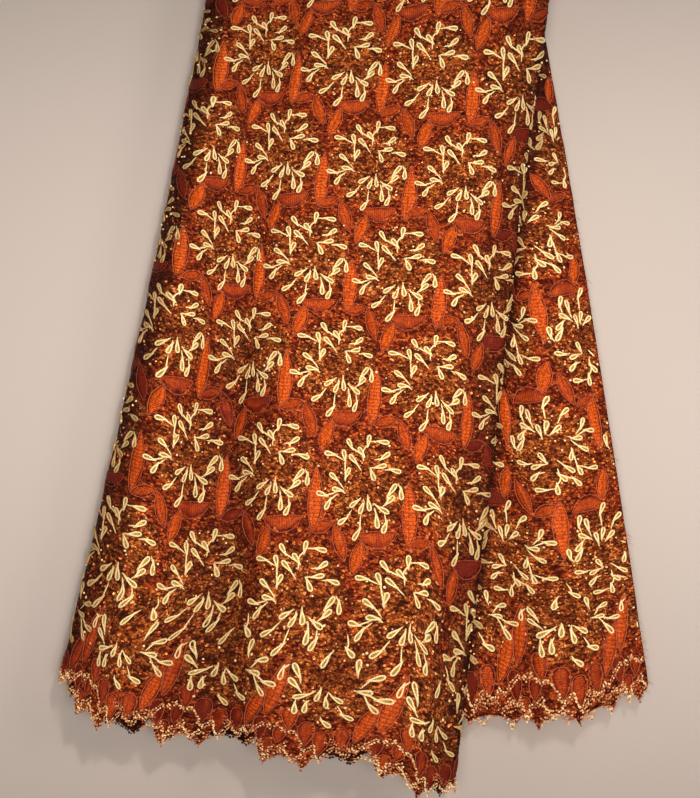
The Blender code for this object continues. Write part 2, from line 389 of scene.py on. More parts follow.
def hang(u, v, lift):
    """Places in the room of points of the flat cloth.

    The point goes to its column and height on the fold's plan curve, and from there outward by half
    the gap between the layers and its lift, to the other side past the top fold. On the top fold
    itself it turns about the fold's centre, a quarter turn to each side.
    """
    from_top = HALF_WIDTH - v
    side = np.where(from_top >= 0, 1.0, -1.0)
    z = fall_to(u, v)
    folds = read_folds(u / REPEAT_LENGTH, -z)
    widening = (LAYER_GAP_LOW - LAYER_GAP_TOP) / 2 + LAYER_RIPPLE * folds[..., 4]
    half_gap = TOP_RADIUS + widening * (TOP_CENTRE - z) / LOW_LEVEL
    quarter = TOP_RADIUS * np.pi / 2
    angle = np.clip(1 - np.abs(from_top) / quarter, 0, 1) * np.pi / 2
    rise = lift + pucker(u, v) * np.clip(np.abs(from_top) / PUCKER_START, 0, 1)
    reach = side * (half_gap + rise) * np.cos(angle) + sway(u / REPEAT_LENGTH, -z)
    z = z + (TOP_RADIUS + rise) * np.sin(angle)
    x = folds[..., 0] + folds[..., 2] * reach
    y = folds[..., 1] + folds[..., 3] * reach
    return np.stack([x, y, z], axis=-1)


def fold_shade(u, v):
    """Painted shade of the folds at each point: 0 where the net faces front or back, up to 1 where it
    turns to the side, where its inner layer hangs inside the folds or just past the front's right fold,
    and part of that in the valleys."""
    depth = -fall_to(u, v)
    column = u / REPEAT_LENGTH
    folds = read_folds(column, depth)
    turned = np.clip((np.abs(folds[..., 2]) - TURN_START) / TURN_SPAN, 0, 1)
    valley = np.clip(-sway(column, depth) / VALLEY_DEPTH, 0, 1)
    shade = turned ** TURN_POWER + VALLEY_SHARE * valley
    edge = np.interp(depth / LOWEST_LEVEL * (LEVEL_COUNT - 1), np.arange(LEVEL_COUNT), RIGHT_EDGE)
    past_edge = np.clip((EDGE_REACH - folds[..., 0] + edge) / EDGE_BLEND, 0, 1)
    inside = np.where(column > 0, past_edge, 1.0)
    return np.clip(np.where(v > HALF_WIDTH, INNER_SHARE * shade + inside, shade), 0, 1)


def cloth_ends(u, v):
    """First and last column of the cloth at the height of each point."""
    row = -fall_to(u, v) / LOWEST_LEVEL * (LEVEL_COUNT - 1)
    levels = np.arange(LEVEL_COUNT)
    return np.interp(row, levels, FOLDS.first_column), np.interp(row, levels, FOLDS.last_column)


def hem_rise(column, inner):
    """Height of the hem above its lowest line: a smooth step up from the low tips of each repeat to
    the rest of it, and arches, the size of a cosine wave without its sign, with finer ones on them.
    A layer that hangs behind the other is plainer and a little higher there."""
    phase = column - np.where(inner, INNER_TIP_PHASE, OUTER_TIP_PHASE)
    step = np.clip((np.abs(phase - np.round(phase)) - TIP_REACH) / STEP_REACH, 0, 1)
    behind = np.where(inner, np.clip(0.5 - column, 0, 1), np.clip(column - 3.0, 0, 1))
    share = np.where(inner, INNER_SCALLOP_SHARE, 1.0 - 0.5 * behind)
    scallop = SCALLOP_RISE * share * step ** 2 * (3 - 2 * step)
    teeth = np.abs(np.cos(3 * np.pi * phase)) + 0.25 * np.abs(np.sin(12 * np.pi * phase))
    height = TOOTH_HEIGHT * (1 - 0.55 * step) * (1 - behind) + PLAIN_TOOTH_HEIGHT * behind
    return scallop + height * teeth + BEHIND_RISE * behind


def srgb(red, green, blue):
    """Linear colour from three bytes of a screen colour, by the screen's curve."""
    share = np.array([red, green, blue]) / 255
    linear = np.where(share <= 0.04045, share / 12.92, ((share + 0.055) / 1.055) ** 2.4)
    return tuple(float(part) for part in linear)


class LaceSizes(bpy.types.PropertyGroup):
    """Sizes of the threads, beads and sequins."""

    net_thickness: bpy.props.FloatProperty(
        name="Net thickness", description="Thickness of the net ground", default=0.0010, unit="LENGTH")
    cord_width: bpy.props.FloatProperty(
        name="Cord width", description="Width of the cream cord", default=0.0016, unit="LENGTH")
    bud_width: bpy.props.FloatProperty(
        name="Bud width", description="Width of a bud between its cords", default=0.0030, unit="LENGTH")
    contour_width: bpy.props.FloatProperty(
        name="Contour width", description="Width of the thread round a leaf", default=0.0007, unit="LENGTH")
    contour_gap: bpy.props.FloatProperty(
        name="Contour gap", description="Gap between a leaf and its thread", default=0.0009, unit="LENGTH")
    bead_width: bpy.props.FloatProperty(
        name="Bead width", description="Width of a picot bead", default=0.0016, unit="LENGTH")
    sequin_width: bpy.props.FloatProperty(
        name="Sequin width", description="Width of a sequin", default=0.0015, unit="LENGTH")


class LaceColours(bpy.types.PropertyGroup):
    """Colours of the threads and sequins."""

    cream: bpy.props.FloatVectorProperty(
        name="Cream cord", description="Colour of the cord and picots", subtype="COLOR",
        default=srgb(255, 232, 170), min=0, max=1)
    olive: bpy.props.FloatVectorProperty(
        name="Bud filling", description="Colour of the thread inside the buds", subtype="COLOR",
        default=srgb(176, 142, 66), min=0, max=1)
    bright_leaf: bpy.props.FloatVectorProperty(
        name="Bright leaf", description="Colour of the bright leaves", subtype="COLOR",
        default=srgb(228, 96, 24), min=0, max=1)
    dull_leaf: bpy.props.FloatVectorProperty(
        name="Dull leaf", description="Colour of the dull leaves", subtype="COLOR",
        default=srgb(150, 54, 20), min=0, max=1)
    contour: bpy.props.FloatVectorProperty(
        name="Leaf contour", description="Colour of the thread round the leaves", subtype="COLOR",
        default=srgb(200, 98, 66), min=0, max=1)
    wall: bpy.props.FloatVectorProperty(
        name="Wall", description="Colour of the wall behind the cloth", subtype="COLOR",
        default=srgb(180, 168, 160), min=0, max=1)


class Bud(NamedTuple):
    """A bud of the spray in millimetres from the flower's centre: its tip, its base and its stem."""

    tip: tuple
    base: tuple
    stem: tuple = ()


FLOWER_BUDS = (
    Bud((-20, 31), (-15, 25), ((-8, 22), (-4, 20))),
    Bud((-9, 26), (-4, 21), ((-3, 15),)),
    Bud((-1, 37), (-1, 31), ((-4, 25), (-4, 20))),
    Bud((15, 33), (8, 33), ((0, 32),)),
    Bud((-16, 19), (-8, 13), ((-3, 8),)),
    Bud((-22, 22), (-19, 14), ((-18, 8), (-16, -2))),
    Bud((-37, 17), (-28, 17), ((-20, 14),)),
    Bud((-14, 9), (-16, 2), ((-16, -2),)),
    Bud((-30, 2), (-23, -2), ((-18, -6), (-16, -8))),
    Bud((-26, -9), (-19, -9), ((-14, -11),)),
    Bud((-38, -14), (-29, -15), ((-22, -11),)),
    Bud((-29, -25), (-26, -17), ((-21, -12),)),
    Bud((17, 25), (12, 20), ((6, 18),)),
    Bud((16, 15), (8, 12), ((3, 11),)),
    Bud((9, 2), (5, 9), ((3, 11),)),
    Bud((28, 11), (20, 12), ((15, 11),)),
    Bud((26, 1), (20, -9), ((20, -14),)),
    Bud((25, -8), (20, -14), ((17, -17),)),
    Bud((31, -10), (30, -3), ((27, 2),)),
    Bud((22, -21), (13, -17), ((10, -15),)),
    Bud((-9, -20), (-3, -15), ((0, -12),)),
    Bud((0, -24), (2, -17), ((2, -13),)),
    Bud((8, -21), (6, -14), ((5, -9),)),
    Bud((15, -33), (13, -23), ((11, -18),)),
    Bud((19, -36), (21, -28), ((19, -22),)),
    Bud((-17, -34), (-11, -29), ((-7, -22),)),
    Bud((-3, -44), (2, -35), ((1, -25),)),
)

BORDER_BUDS = (
    Bud((-8, 7), (-5, 16), ((-3, 19),)),
    Bud((12, 16), (8, 19), ((6, 22), (3, 30))),
    Bud((16, 15), (17, 6), ((18, 3),)),
    Bud((33, 6), (25, 3), ((21, -3),)),
    Bud((29, -5), (22, -5), ((17, -5),)),
    Bud((42, -9), (32, -9), ((24, -5),)),
    Bud((35, -20), (28, -12), ((24, -6),)),
    Bud((-7, -16), (-5, -8), ((-5, -5),)),
    Bud((2, -21), (0, -13), ((1, -8),)),
    Bud((12, -15), (5, -11), ((1, -8),)),
    Bud((21, -28), (15, -26), ((13, -24), (9, -18))),
    Bud((7, -37), (3, -34), ((1, -33), (-1, -29))),
    Bud((-22, -16), (-12, -11), ((-8, -8),)),
    Bud((-13, -27), (-13, -19), ((-11, -16),)),
    Bud((-19, -29), (-20, -21), ((-20, -17),)),
    Bud((-27, -3), (-20, -8), ((-17, -11),)),
    Bud((-26, 7), (-20, -2), ((-19, -5),)),
    Bud((-33, -5), (-32, 1), ((-28, 6),)),
)


class Leaf(NamedTuple):
    """A leaf pad in millimetres from the flower's centre.

    It runs from start to finish and is left_width and right_width wide on its two sides. Its widest
    place moves towards the start as fullness grows, its ends grow sharper with point, and tone runs
    from dull at 0 to bright at 1.
    """

    start: tuple
    finish: tuple
    left_width: float
    right_width: float
    tone: float
    fullness: float = 0.5
    point: float = 2.1


FLOWER_LEAVES = (
    Leaf((-1, -41), (27, -36), 0.6, 11.0, 0.30, 0.5, 1.5),
    Leaf((34.5, 2.5), (37, -45), 6.0, 4.4, 0.90, 0.42, 1.9),
    Leaf((-40, -43.5), (-23, -36), 3.8, 4.4, 0.35),
    Leaf((-21, -37), (-9, -62), 4.6, 4.2, 0.42),
    Leaf((3, -46), (-2, -71), 4.6, 4.6, 0.80),
)

BORDER_LEAVES = (
    Leaf((-22, -26), (-20, -44), 4.6, 4.6, 0.38, 0.72, 1.6),
    Leaf((-9, -36), (-8, -56), 5.2, 5.2, 0.22, 0.72, 1.6),
    Leaf((3, -43), (3, -63), 5.4, 5.4, 0.28, 0.72, 1.6),
    Leaf((16, -38), (17, -58), 5.0, 5.0, 0.28, 0.72, 1.6),
    Leaf((36, -14), (25, -48), 4.6, 5.0, 0.60, 0.50, 1.8),
    Leaf((-30, 10), (-38, -35), 5.0, 5.2, 0.62, 0.45, 1.8),
    Leaf((-41, -39), (-39, -58), 4.8, 4.8, 0.02, 0.68, 1.6),
    Leaf((-25, -43), (-26, -56), 3.6, 3.6, 0.20, 0.68, 1.6),
    Leaf((-33, -55), (-33, -68), 3.6, 3.6, 0.30, 0.68, 1.6),
)

# Zigzags of thread beads under the border's leaves, in millimetres from its flower's centre
BEAD_ZIGZAGS = (
    ((-50, -56), (-44, -48), (-38, -42), (-33, -43), (-28, -39), (-22, -45), (-16, -43), (-8, -59),
     (-2, -53), (3, -66), (11, -54), (20, -60), (24, -52), (28, -56)),
    ((-49, -61), (-44, -57), (-39, -61), (-36, -56), (-33, -70), (-29, -60), (-25, -60), (-21, -55),
     (-15, -68), (-9, -62), (-4, -65)),
)


class Kit(NamedTuple):
    """Like shapes on the flat cloth.

    points holds right, up and lift for each point of each shape, faces the corners that every shape
    has, corner_uv their places on the shape's own map, and tone one number a shape.
    """

    points: np.ndarray
    faces: tuple
    corner_uv: tuple
    tone: np.ndarray


class Places(NamedTuple):
    """Where a kit is sewn on: flat place, right way up or turned, a slight tilt, a size and a step in tone,
    which is random and on the hem's hidden beads a painted shadow.
    """

    u: np.ndarray
    v: np.ndarray
    turned: np.ndarray
    tilt: np.ndarray
    size: np.ndarray
    shade: np.ndarray


def grid_corners(rows, columns, closed_rows, closed_columns):
    """Corners of the quads of a grid, row by row, with the grid joined to itself where it is closed."""
    row = np.arange(rows if closed_rows else rows - 1)[:, None]
    column = np.arange(columns if closed_columns else columns - 1)[None, :]
    next_row = (row + 1) % rows
    next_column = (column + 1) % columns
    corners = (row * columns + column, row * columns + next_column,
               next_row * columns + next_column, next_row * columns + column)
    faces = np.stack(np.broadcast_arrays(*corners), axis=-1).reshape(-1, 4)
    places = ((row, column), (row, column + 1), (row + 1, column + 1), (row + 1, column))
    uv = [np.stack(np.broadcast_arrays(*place), axis=-1) for place in places]
    return faces, np.stack(uv, axis=2).reshape(-1, 4, 2).astype(float)


def tube_kit(paths, radius, sides, base_lift, closed, tone, arch=0.0):
    """A ring of points carried along each path, level with the cloth: across the path by the radius
    times the cosine of the ring's angle, and up by the radius times its sine."""
    count = paths.shape[1]
    if closed:
        run = np.roll(paths, -1, axis=1) - np.roll(paths, 1, axis=1)
    else:
        run = np.gradient(paths, axis=1)
    run /= np.linalg.norm(run, axis=2)[:, :, None] + 1e-12
    across = np.stack([-run[..., 1], run[..., 0]], axis=-1)
    angle = np.arange(sides) * 2 * np.pi / sides + np.pi / sides
    ring = np.broadcast_to(radius, paths.shape[:2])[:, :, None]
    flat = paths[:, :, None] + across[:, :, None] * (ring * np.cos(angle))[..., None]
    hump = arch * np.sin(np.linspace(0, np.pi, count))[None, :, None]
    lift = base_lift + hump + ring * np.sin(angle)
    points = np.concatenate([flat, lift[..., None]], axis=-1).reshape(len(paths), -1, 3)
    faces, uv = grid_corners(count, sides, closed, True)
    steps = np.linalg.norm(np.diff(paths, axis=1), axis=2).mean()
    uv *= (steps, 1 / sides)
    kinds = [faces[:, ::-1]]
    maps = [uv[:, ::-1]]
    if not closed:
        first = np.arange(sides)[None, :]
        last = first[:, ::-1] + (count - 1) * sides
        kinds += [first, last]
        maps += [np.zeros((1, sides, 2))] * 2
    return Kit(points, tuple(kinds), tuple(maps), tone)


def spline(points, count):
    """Even steps along the smooth curve through a few points, a cubic between each two."""
    points = np.asarray(points, float)
    if len(points) == 2:
        return points[0] + (points[1] - points[0]) * np.linspace(0, 1, count)[:, None]
    lengths = np.append(0.0, np.cumsum(np.linalg.norm(np.diff(points, axis=0), axis=1)))
    dense = smooth_row(points, lengths)
    along = np.append(0.0, np.cumsum(np.linalg.norm(np.diff(dense, axis=0), axis=1)))
    wanted = np.linspace(0, along[-1], count)
    return np.stack([np.interp(wanted, along, dense[:, 0]), np.interp(wanted, along, dense[:, 1])], axis=1)


def bud_length(length):
    """A bud's length in millimetres from the way between its tip and its base."""
    return np.clip(length * BUD_STRETCH, *BUD_LENGTHS)


def bud_outline(buds, count, width, inset=0.0):
    """Drops from base to tip: along by half of one less the cosine, across by the sine times a
    power of the half angle's sine, so that the base is pointed and the tip round."""
    tip = np.array([bud.tip for bud in buds]) * MILLIMETRE
    base = np.array([bud.base for bud in buds]) * MILLIMETRE
    axis = tip - base
    length = np.linalg.norm(axis, axis=1)[:, None]
    axis = axis / length
    side = np.stack([-axis[:, 1], axis[:, 0]], axis=1)
    # Every bud keeps near its usual length, and the rest of the way is its stem
    length = bud_length(length / MILLIMETRE) * MILLIMETRE
    angle = np.arange(count) * 2 * np.pi / count
    along = inset + (length - 2 * inset) * (1 - np.cos(angle)) / 2
    across = (width / 1.26 - inset) * np.sin(angle) * np.sin(angle / 2) ** 2.2
    start = tip - axis * length
    return start[:, None] + axis[:, None] * along[..., None] + side[:, None] * across[:, None]


def spray_kits(buds, ring_points, sides, sizes):
    """The cord loops, the stems and the fillings of a spray of buds."""
    radius = sizes.cord_width / 2
    loops = bud_outline(buds, ring_points, sizes.bud_width)
    none = np.zeros(len(buds))
    loop_kit = tube_kit(loops, radius, sides, CORD_LIFT, True, none, CORD_ARCH)
    stems = []
    for bud in buds:
        axis = np.subtract(bud.tip, bud.base)
        length = np.linalg.norm(axis)
        start = np.subtract(bud.tip, axis / length * (bud_length(length) - STEM_OVERLAP))
        stems.append(spline([start, *bud.stem], len(STEM_TAPER)) * MILLIMETRE)
    stem_kit = tube_kit(np.array(stems), radius * np.array(STEM_TAPER), sides, STEM_LIFT, False, none)
    corners = FILLING_CORNERS
    inner = bud_outline(buds, corners, sizes.bud_width, FILLING_INSET)
    edge = np.concatenate([inner, np.full(inner.shape[:2] + (1,), FILLING_LIFT)], axis=-1)
    middle = edge.mean(axis=1, keepdims=True) + (0, 0, FILLING_LIFT)
    points = np.concatenate([edge, middle], axis=1)
    index = np.arange(corners)
    fan = np.stack([index, np.full(corners, corners), (index + 1) % corners], axis=1)
    return loop_kit, stem_kit, Kit(points, (fan,), (np.zeros((corners, 3, 2)),), none)


def leaf_width(along, fullness, point):
    """Width along a leaf from 0 to 1: a power of the way from the start times a power of the rest."""
    early = point * (1 - fullness)
    late = point * fullness
    peak = early / (early + late)
    most = peak ** early * (1 - peak) ** late
    return np.clip(along, 0, 1) ** early * np.clip(1 - along, 0, 1) ** late / most


def leaf_point(leaf, along, across):
    """A place on a leaf: along its line, and across it by the width on that side."""
    start = np.array(leaf.start) * MILLIMETRE
    line = np.array(leaf.finish) * MILLIMETRE - start
    side = np.array([-line[1], line[0]]) / np.linalg.norm(line)
    width = np.where(across > 0, leaf.left_width, leaf.right_width) * MILLIMETRE
    reach = across * width * leaf_width(along, leaf.fullness, leaf.point)
    return start + along[..., None] * line + reach[..., None] * side


def leaf_kits(leaves, sizes):
    """Domed pads, their height a power of a half sine along and a parabola across, and a thread round
    each."""
    steps_along, steps_across = LEAF_STEPS
    along = np.linspace(0, 1, steps_along)[:, None] + np.zeros(steps_across)
    along = (1 - np.cos(along * np.pi)) / 2
    across = np.linspace(-1, 1, steps_across) + np.zeros((steps_along, 1))
    lift = PAD_LIFT + PAD_DOME * (1 - across ** 2) * np.sin(along * np.pi) ** 0.6
    angle = (np.arange(CONTOUR_POINTS) + 0.5) * 2 * np.pi / CONTOUR_POINTS
    pads = []
    rims = []
    for leaf in leaves:
        pad = np.concatenate([leaf_point(leaf, along, across), lift[..., None]], axis=-1)
        pads.append(pad.reshape(-1, 3))
        rim = leaf_point(leaf, 0.5 - 0.5 * np.cos(angle), np.where(angle < np.pi, 1.0, -1.0))
        off = rim - rim.mean(axis=0)
        rims.append(rim + off / np.linalg.norm(off, axis=1)[:, None] * sizes.contour_gap)
    faces, uv = grid_corners(steps_along, steps_across, False, False)
    tones = np.array([leaf.tone for leaf in leaves])
    lengths = np.mean([np.linalg.norm(np.subtract(leaf.finish, leaf.start)) for leaf in leaves])
    uv = uv / (steps_along - 1, steps_across - 1)
    uv[..., 0] = (1 - np.cos(uv[..., 0] * np.pi)) / 2 * lengths * MILLIMETRE
    pad_kit = Kit(np.array(pads), (faces,), (uv,), tones)
    rim_kit = tube_kit(np.array(rims), sizes.contour_width / 2, 3, CONTOUR_LIFT, True, 0 * tones)
    return pad_kit, rim_kit


def bead_kit(places, width, lift):
    """Twelve-cornered beads: two rings of five, one turned half a step, and a point above and below,
    their tone at random from the middle to the top."""
    angle = np.arange(5) * 2 * np.pi / 5
    ring = 0.894 * np.stack([np.cos(angle), np.sin(angle), np.full(5, -0.5)], axis=1)
    turned = angle + np.pi / 5
    upper = 0.894 * np.stack([np.cos(turned), np.sin(turned), np.full(5, 0.5)], axis=1)
    ball = np.vstack([[0, 0, -1], ring, upper, [0, 0, 1]]) * width / 2
    i = np.arange(5)
    j = (i + 1) % 5
    faces = np.vstack([
        np.stack([0 * i, 1 + j, 1 + i], axis=1), np.stack([1 + i, 1 + j, 6 + i], axis=1),
        np.stack([6 + i, 1 + j, 6 + j], axis=1), np.stack([6 + i, 6 + j, 0 * i + 11], axis=1),
    ])
    places = np.asarray(places, float)
    middle = np.concatenate([places, np.full((len(places), 1), lift)], axis=1)
    points = middle[:, None] + ball
    return Kit(points, (faces,), (np.zeros((20, 3, 2)),),
               np.random.default_rng(3).uniform(0.40, 1.0, len(places)))


def sewn(kit, places, painted_shade_share=0.0):
    """Points in the room of a kit at every place, and the tone of each shape, lower by a share of the
    painted fold shade, without the shapes that would pass the ends of the cloth."""
    cosine = np.cos(places.tilt)[:, None, None] * places.size[:, None, None]
    sine = np.sin(places.tilt)[:, None, None] * places.size[:, None, None]
    right = kit.points[None, :, :, 0] * cosine - kit.points[None, :, :, 1] * sine
    up = kit.points[None, :, :, 0] * sine + kit.points[None, :, :, 1] * cosine
    u = places.u[:, None, None] - places.turned[:, None, None] * right
    v = places.v[:, None, None] + places.turned[:, None, None] * up
    lift = np.broadcast_to(kit.points[None, :, :, 2], u.shape)
    first, last = cloth_ends(u, v)
    margin = END_MARGIN / REPEAT_LENGTH
    column = u / REPEAT_LENGTH
    inside = ((column > first + margin) & (column < last - margin)).all(axis=2)
    tone = np.broadcast_to(kit.tone[None, :], inside.shape) + places.shade[:, None]
    tone = tone[inside] - painted_shade_share * fold_shade(u[inside].mean(axis=1), v[inside].mean(axis=1))
    return hang(u[inside], v[inside], lift[inside]), tone


def flower_places(inner, first_column, last_column, seed):
    """The field flowers of one layer, rows half a repeat apart by turns."""
    rng = np.random.default_rng(seed)
    u = []
    v = []
    rows = range(1, ROW_COUNT + 1) if inner else range(0, ROW_COUNT + 1)
    for row in rows:
        phase = ODD_PHASE if row % 2 else EVEN_PHASE
        columns = np.arange(np.ceil(first_column - phase), last_column - phase) + phase
        u.append(columns * REPEAT_LENGTH)
        height = HALF_WIDTH + row * ROW_STEP if inner else HALF_WIDTH - row * ROW_STEP
        v.append(np.full(len(columns), height))
    u = np.concatenate(u)
    v = np.concatenate(v)
    count = len(u)
    return Places(
        u + rng.normal(0, 0.0006, count), v + rng.normal(0, 0.0006, count), np.ones(count),
        rng.normal(0, 0.022, count), 1 + rng.normal(0, 0.012, count), rng.normal(0, 0.05, count))


def border_places(inner, first_column, last_column, seed):
    """The border's flowers of one layer, each upright above its hem."""
    rng = np.random.default_rng(seed)
    columns = np.arange(np.ceil(first_column - ODD_PHASE), last_column - ODD_PHASE) + ODD_PHASE
    count = len(columns)
    height = CLOTH_WIDTH - BORDER_HEIGHT if inner else BORDER_HEIGHT
    return Places(
        columns * REPEAT_LENGTH, np.full(count, height), np.full(count, -1.0 if inner else 1.0),
        rng.normal(0, 0.012, count), 1 + rng.normal(0, 0.01, count), rng.normal(0, 0.05, count))


def put_mesh(name, batches, material, smooth=True):
    """One mesh object from batches of like shapes, filled from whole arrays."""
    points = []
    corners = []
    sizes = []
    uvs = []
    tones = []
    offset = 0
    for kit, (places, tone) in batches:
        count, length = places.shape[:2]
        points.append(places.reshape(-1, 3))
        tones.append(np.repeat(tone, length))
        for faces, uv in zip(kit.faces, kit.corner_uv):
            shifted = faces[None] + (np.arange(count) * length)[:, None, None] + offset
            corners.append(shifted.reshape(-1))
            sizes.append(np.full(count * len(faces), faces.shape[1]))
            uvs.append(np.broadcast_to(uv[None], (count,) + uv.shape).reshape(-1, 2))
        offset += count * length
    points = np.concatenate(points)
    corners = np.concatenate(corners)
    sizes = np.concatenate(sizes)
    mesh = bpy.data.meshes.new(name)
    mesh.vertices.add(len(points))
    mesh.vertices.foreach_set("co", points.ravel())
    mesh.loops.add(len(corners))
    mesh.loops.foreach_set("vertex_index", corners)
    mesh.polygons.add(len(sizes))
    mesh.polygons.foreach_set("loop_start", np.append(0, np.cumsum(sizes)[:-1]))
    mesh.uv_layers.new(name="map").data.foreach_set("uv", np.concatenate(uvs).ravel())
    mesh.attributes.new("tone", "FLOAT", "POINT").data.foreach_set("value", np.concatenate(tones))
    mesh.polygons.foreach_set("use_smooth", np.full(len(sizes), smooth))
    mesh.materials.append(material)
    mesh.update(calc_edges=True)
    mesh.validate()
    piece = bpy.data.objects.new(name, mesh)
    bpy.context.scene.collection.objects.link(piece)
    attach(piece, "root")
    return piece


def add_node(tree, kind, inputs=None, **settings):
    """A shader node with its settings, and each input either joined to a socket or given a value."""
    node = tree.nodes.new(kind)
    for name, value in settings.items():
        setattr(node, name, value)
    for key, value in (inputs or {}).items():
        if isinstance(value, bpy.types.NodeSocket):
            tree.links.new(value, node.inputs[key])
        else:
            node.inputs[key].default_value = value
    return node


def calculate(tree, operation, *values, clamp=False):
    """Output of a Math node."""
    inputs = dict(enumerate(values))
    return add_node(tree, "ShaderNodeMath", inputs, operation=operation, use_clamp=clamp).outputs[0]


def mix_colours(tree, share, first, second, blend_type="MIX"):
    """Output of a Mix node for colours."""
    inputs = {0: share, 6: first, 7: second}
    node = add_node(tree, "ShaderNodeMix", inputs, data_type="RGBA", blend_type=blend_type)
    return node.outputs[2]


def remap(tree, value, low, high, to_low=0.0, to_high=1.0):
    """Output of a smooth Map Range node."""
    inputs = {0: value, 1: low, 2: high, 3: to_low, 4: to_high}
    return add_node(tree, "ShaderNodeMapRange", inputs, interpolation_type="SMOOTHSTEP").outputs[0]


def noise(tree, vector, scale, detail):
    """Value of a Noise Texture."""
    inputs = {"Vector": vector, "Scale": scale, "Detail": detail}
    return add_node(tree, "ShaderNodeTexNoise", inputs).outputs[0]


def colour_ramp(tree, value, stops):
    """Output of a Color Ramp with the given places and colours."""
    node = add_node(tree, "ShaderNodeValToRGB", {0: value})
    elements = node.color_ramp.elements
    while len(elements) < len(stops):
        elements.new(0.5)
    for element, (place, colour) in zip(elements, stops):
        element.position = place
        element.color = (*colour, 1.0)
    return node.outputs[0]


def new_group(name, inputs, outputs):
    """An empty shader node group with named sockets."""
    group = bpy.data.node_groups.new(name, "ShaderNodeTree")
    for socket, kind, default in inputs:
        made = group.interface.new_socket(socket, in_out="INPUT", socket_type=kind)
        if default is not None:
            made.default_value = default
    for socket, kind in outputs:
        group.interface.new_socket(socket, in_out="OUTPUT", socket_type=kind)
    return group, group.nodes.new("NodeGroupInput").outputs, group.nodes.new("NodeGroupOutput").inputs


def use_group(tree, name, inputs):
    """A placed node group with its own values."""
    return add_node(tree, "ShaderNodeGroup", inputs, node_tree=bpy.data.node_groups[name])


def nearest_flower(tree, along, across, column_phase, row_phase):
    """Distance to the nearest flower of the rows that share a phase."""
    column = calculate(tree, "SUBTRACT", calculate(tree, "DIVIDE", along, REPEAT_LENGTH), column_phase)
    row = calculate(tree, "DIVIDE", calculate(tree, "SUBTRACT", across, HALF_WIDTH), 2 * ROW_STEP)
    row = calculate(tree, "SUBTRACT", row, row_phase)
    squares = []
    for value, length in ((column, REPEAT_LENGTH), (row, 2 * ROW_STEP)):
        off = calculate(tree, "SUBTRACT", value, calculate(tree, "ROUND", value))
        off = calculate(tree, "MULTIPLY", off, length)
        squares.append(calculate(tree, "MULTIPLY", off, off))
    return calculate(tree, "SQRT", calculate(tree, "ADD", *squares))


def build_flower_group():
    """Flower Ground: 1 within a flower of the field or border, 0 between, with a ragged edge."""
    group, inputs, outputs = new_group(
        "Flower Ground",
        [("Vector", "NodeSocketVector", None), ("Radius", "NodeSocketFloat", 0.031)],
        [("Mask", "NodeSocketFloat")])
    parts = add_node(group, "ShaderNodeSeparateXYZ", {0: inputs["Vector"]})
    along, across = parts.outputs[0], parts.outputs[1]
    odd = nearest_flower(group, along, across, ODD_PHASE, 0.5)
    even = nearest_flower(group, along, across, EVEN_PHASE, 0.0)
    field = calculate(group, "MINIMUM", odd, even)
    centred = calculate(group, "SUBTRACT", across, HALF_WIDTH)
    height = calculate(group, "SUBTRACT", HALF_WIDTH, calculate(group, "ABSOLUTE", centred))
    column = calculate(group, "SUBTRACT", calculate(group, "DIVIDE", along, REPEAT_LENGTH), ODD_PHASE)
    off = calculate(group, "SUBTRACT", column, calculate(group, "ROUND", column))
    off = calculate(group, "MULTIPLY", off, REPEAT_LENGTH)
    rise = calculate(group, "SUBTRACT", height, BORDER_HEIGHT)
    squares = (calculate(group, "MULTIPLY", off, off), calculate(group, "MULTIPLY", rise, rise))
    border = calculate(group, "SQRT", calculate(group, "ADD", *squares))
    low = calculate(group, "LESS_THAN", height, 0.082)
    kept_field = calculate(group, "ADD", field, low)
    distance = calculate(group, "MINIMUM", kept_field, border)
    ragged = noise(group, inputs["Vector"], 110.0, 2.0)
    wobble = calculate(group, "MULTIPLY", calculate(group, "SUBTRACT", ragged, 0.5), 0.022)
    distance = calculate(group, "ADD", distance, wobble)
    inner = calculate(group, "SUBTRACT", inputs["Radius"], 0.005)
    node = add_node(group, "ShaderNodeMapRange", {0: distance, 2: inputs["Radius"], 3: 1.0, 4: 0.0})
    group.links.new(inner, node.inputs[1])
    group.links.new(node.outputs[0], outputs["Mask"])


def build_thread_group():
    """Thread Knots: a net of small stitches, with a height, the gaps between, and a random tone."""
    group, inputs, outputs = new_group(
        "Thread Knots",
        [("Vector", "NodeSocketVector", None), ("Scale", "NodeSocketFloat", 560.0)],
        [("Height", "NodeSocketFloat"), ("Gap", "NodeSocketFloat"), ("Tone", "NodeSocketFloat")])
    stretched = add_node(group, "ShaderNodeVectorMath", {0: inputs["Vector"], 1: (0.78, 1.12, 1.0)},
                         operation="MULTIPLY").outputs[0]
    bend = add_node(group, "ShaderNodeTexNoise", {"Vector": stretched, "Scale": 160.0, "Detail": 1.0})
    shift = add_node(group, "ShaderNodeVectorMath", {0: bend.outputs[1], 1: (0.003, 0.003, 0.0)},
                     operation="MULTIPLY").outputs[0]
    bent = add_node(group, "ShaderNodeVectorMath", {0: stretched, 1: shift}, operation="ADD").outputs[0]
    cells = add_node(group, "ShaderNodeTexVoronoi", {"Vector": bent, "Scale": inputs["Scale"]})
    edges = add_node(group, "ShaderNodeTexVoronoi", {"Vector": bent, "Scale": inputs["Scale"]},
                     feature="DISTANCE_TO_EDGE")
    fine = noise(group, inputs["Vector"], 1900.0, 2.0)
    tone = add_node(group, "ShaderNodeSeparateColor", {0: cells.outputs["Color"]}).outputs[0]
    height = calculate(group, "SUBTRACT", 1.0, cells.outputs["Distance"])
    height = calculate(group, "ADD", height, calculate(group, "MULTIPLY", fine, 0.5))
    group.links.new(height, outputs["Height"])
    group.links.new(remap(group, edges.outputs["Distance"], 0.02, 0.16, 1.0, 0.0), outputs["Gap"])
    group.links.new(tone, outputs["Tone"])


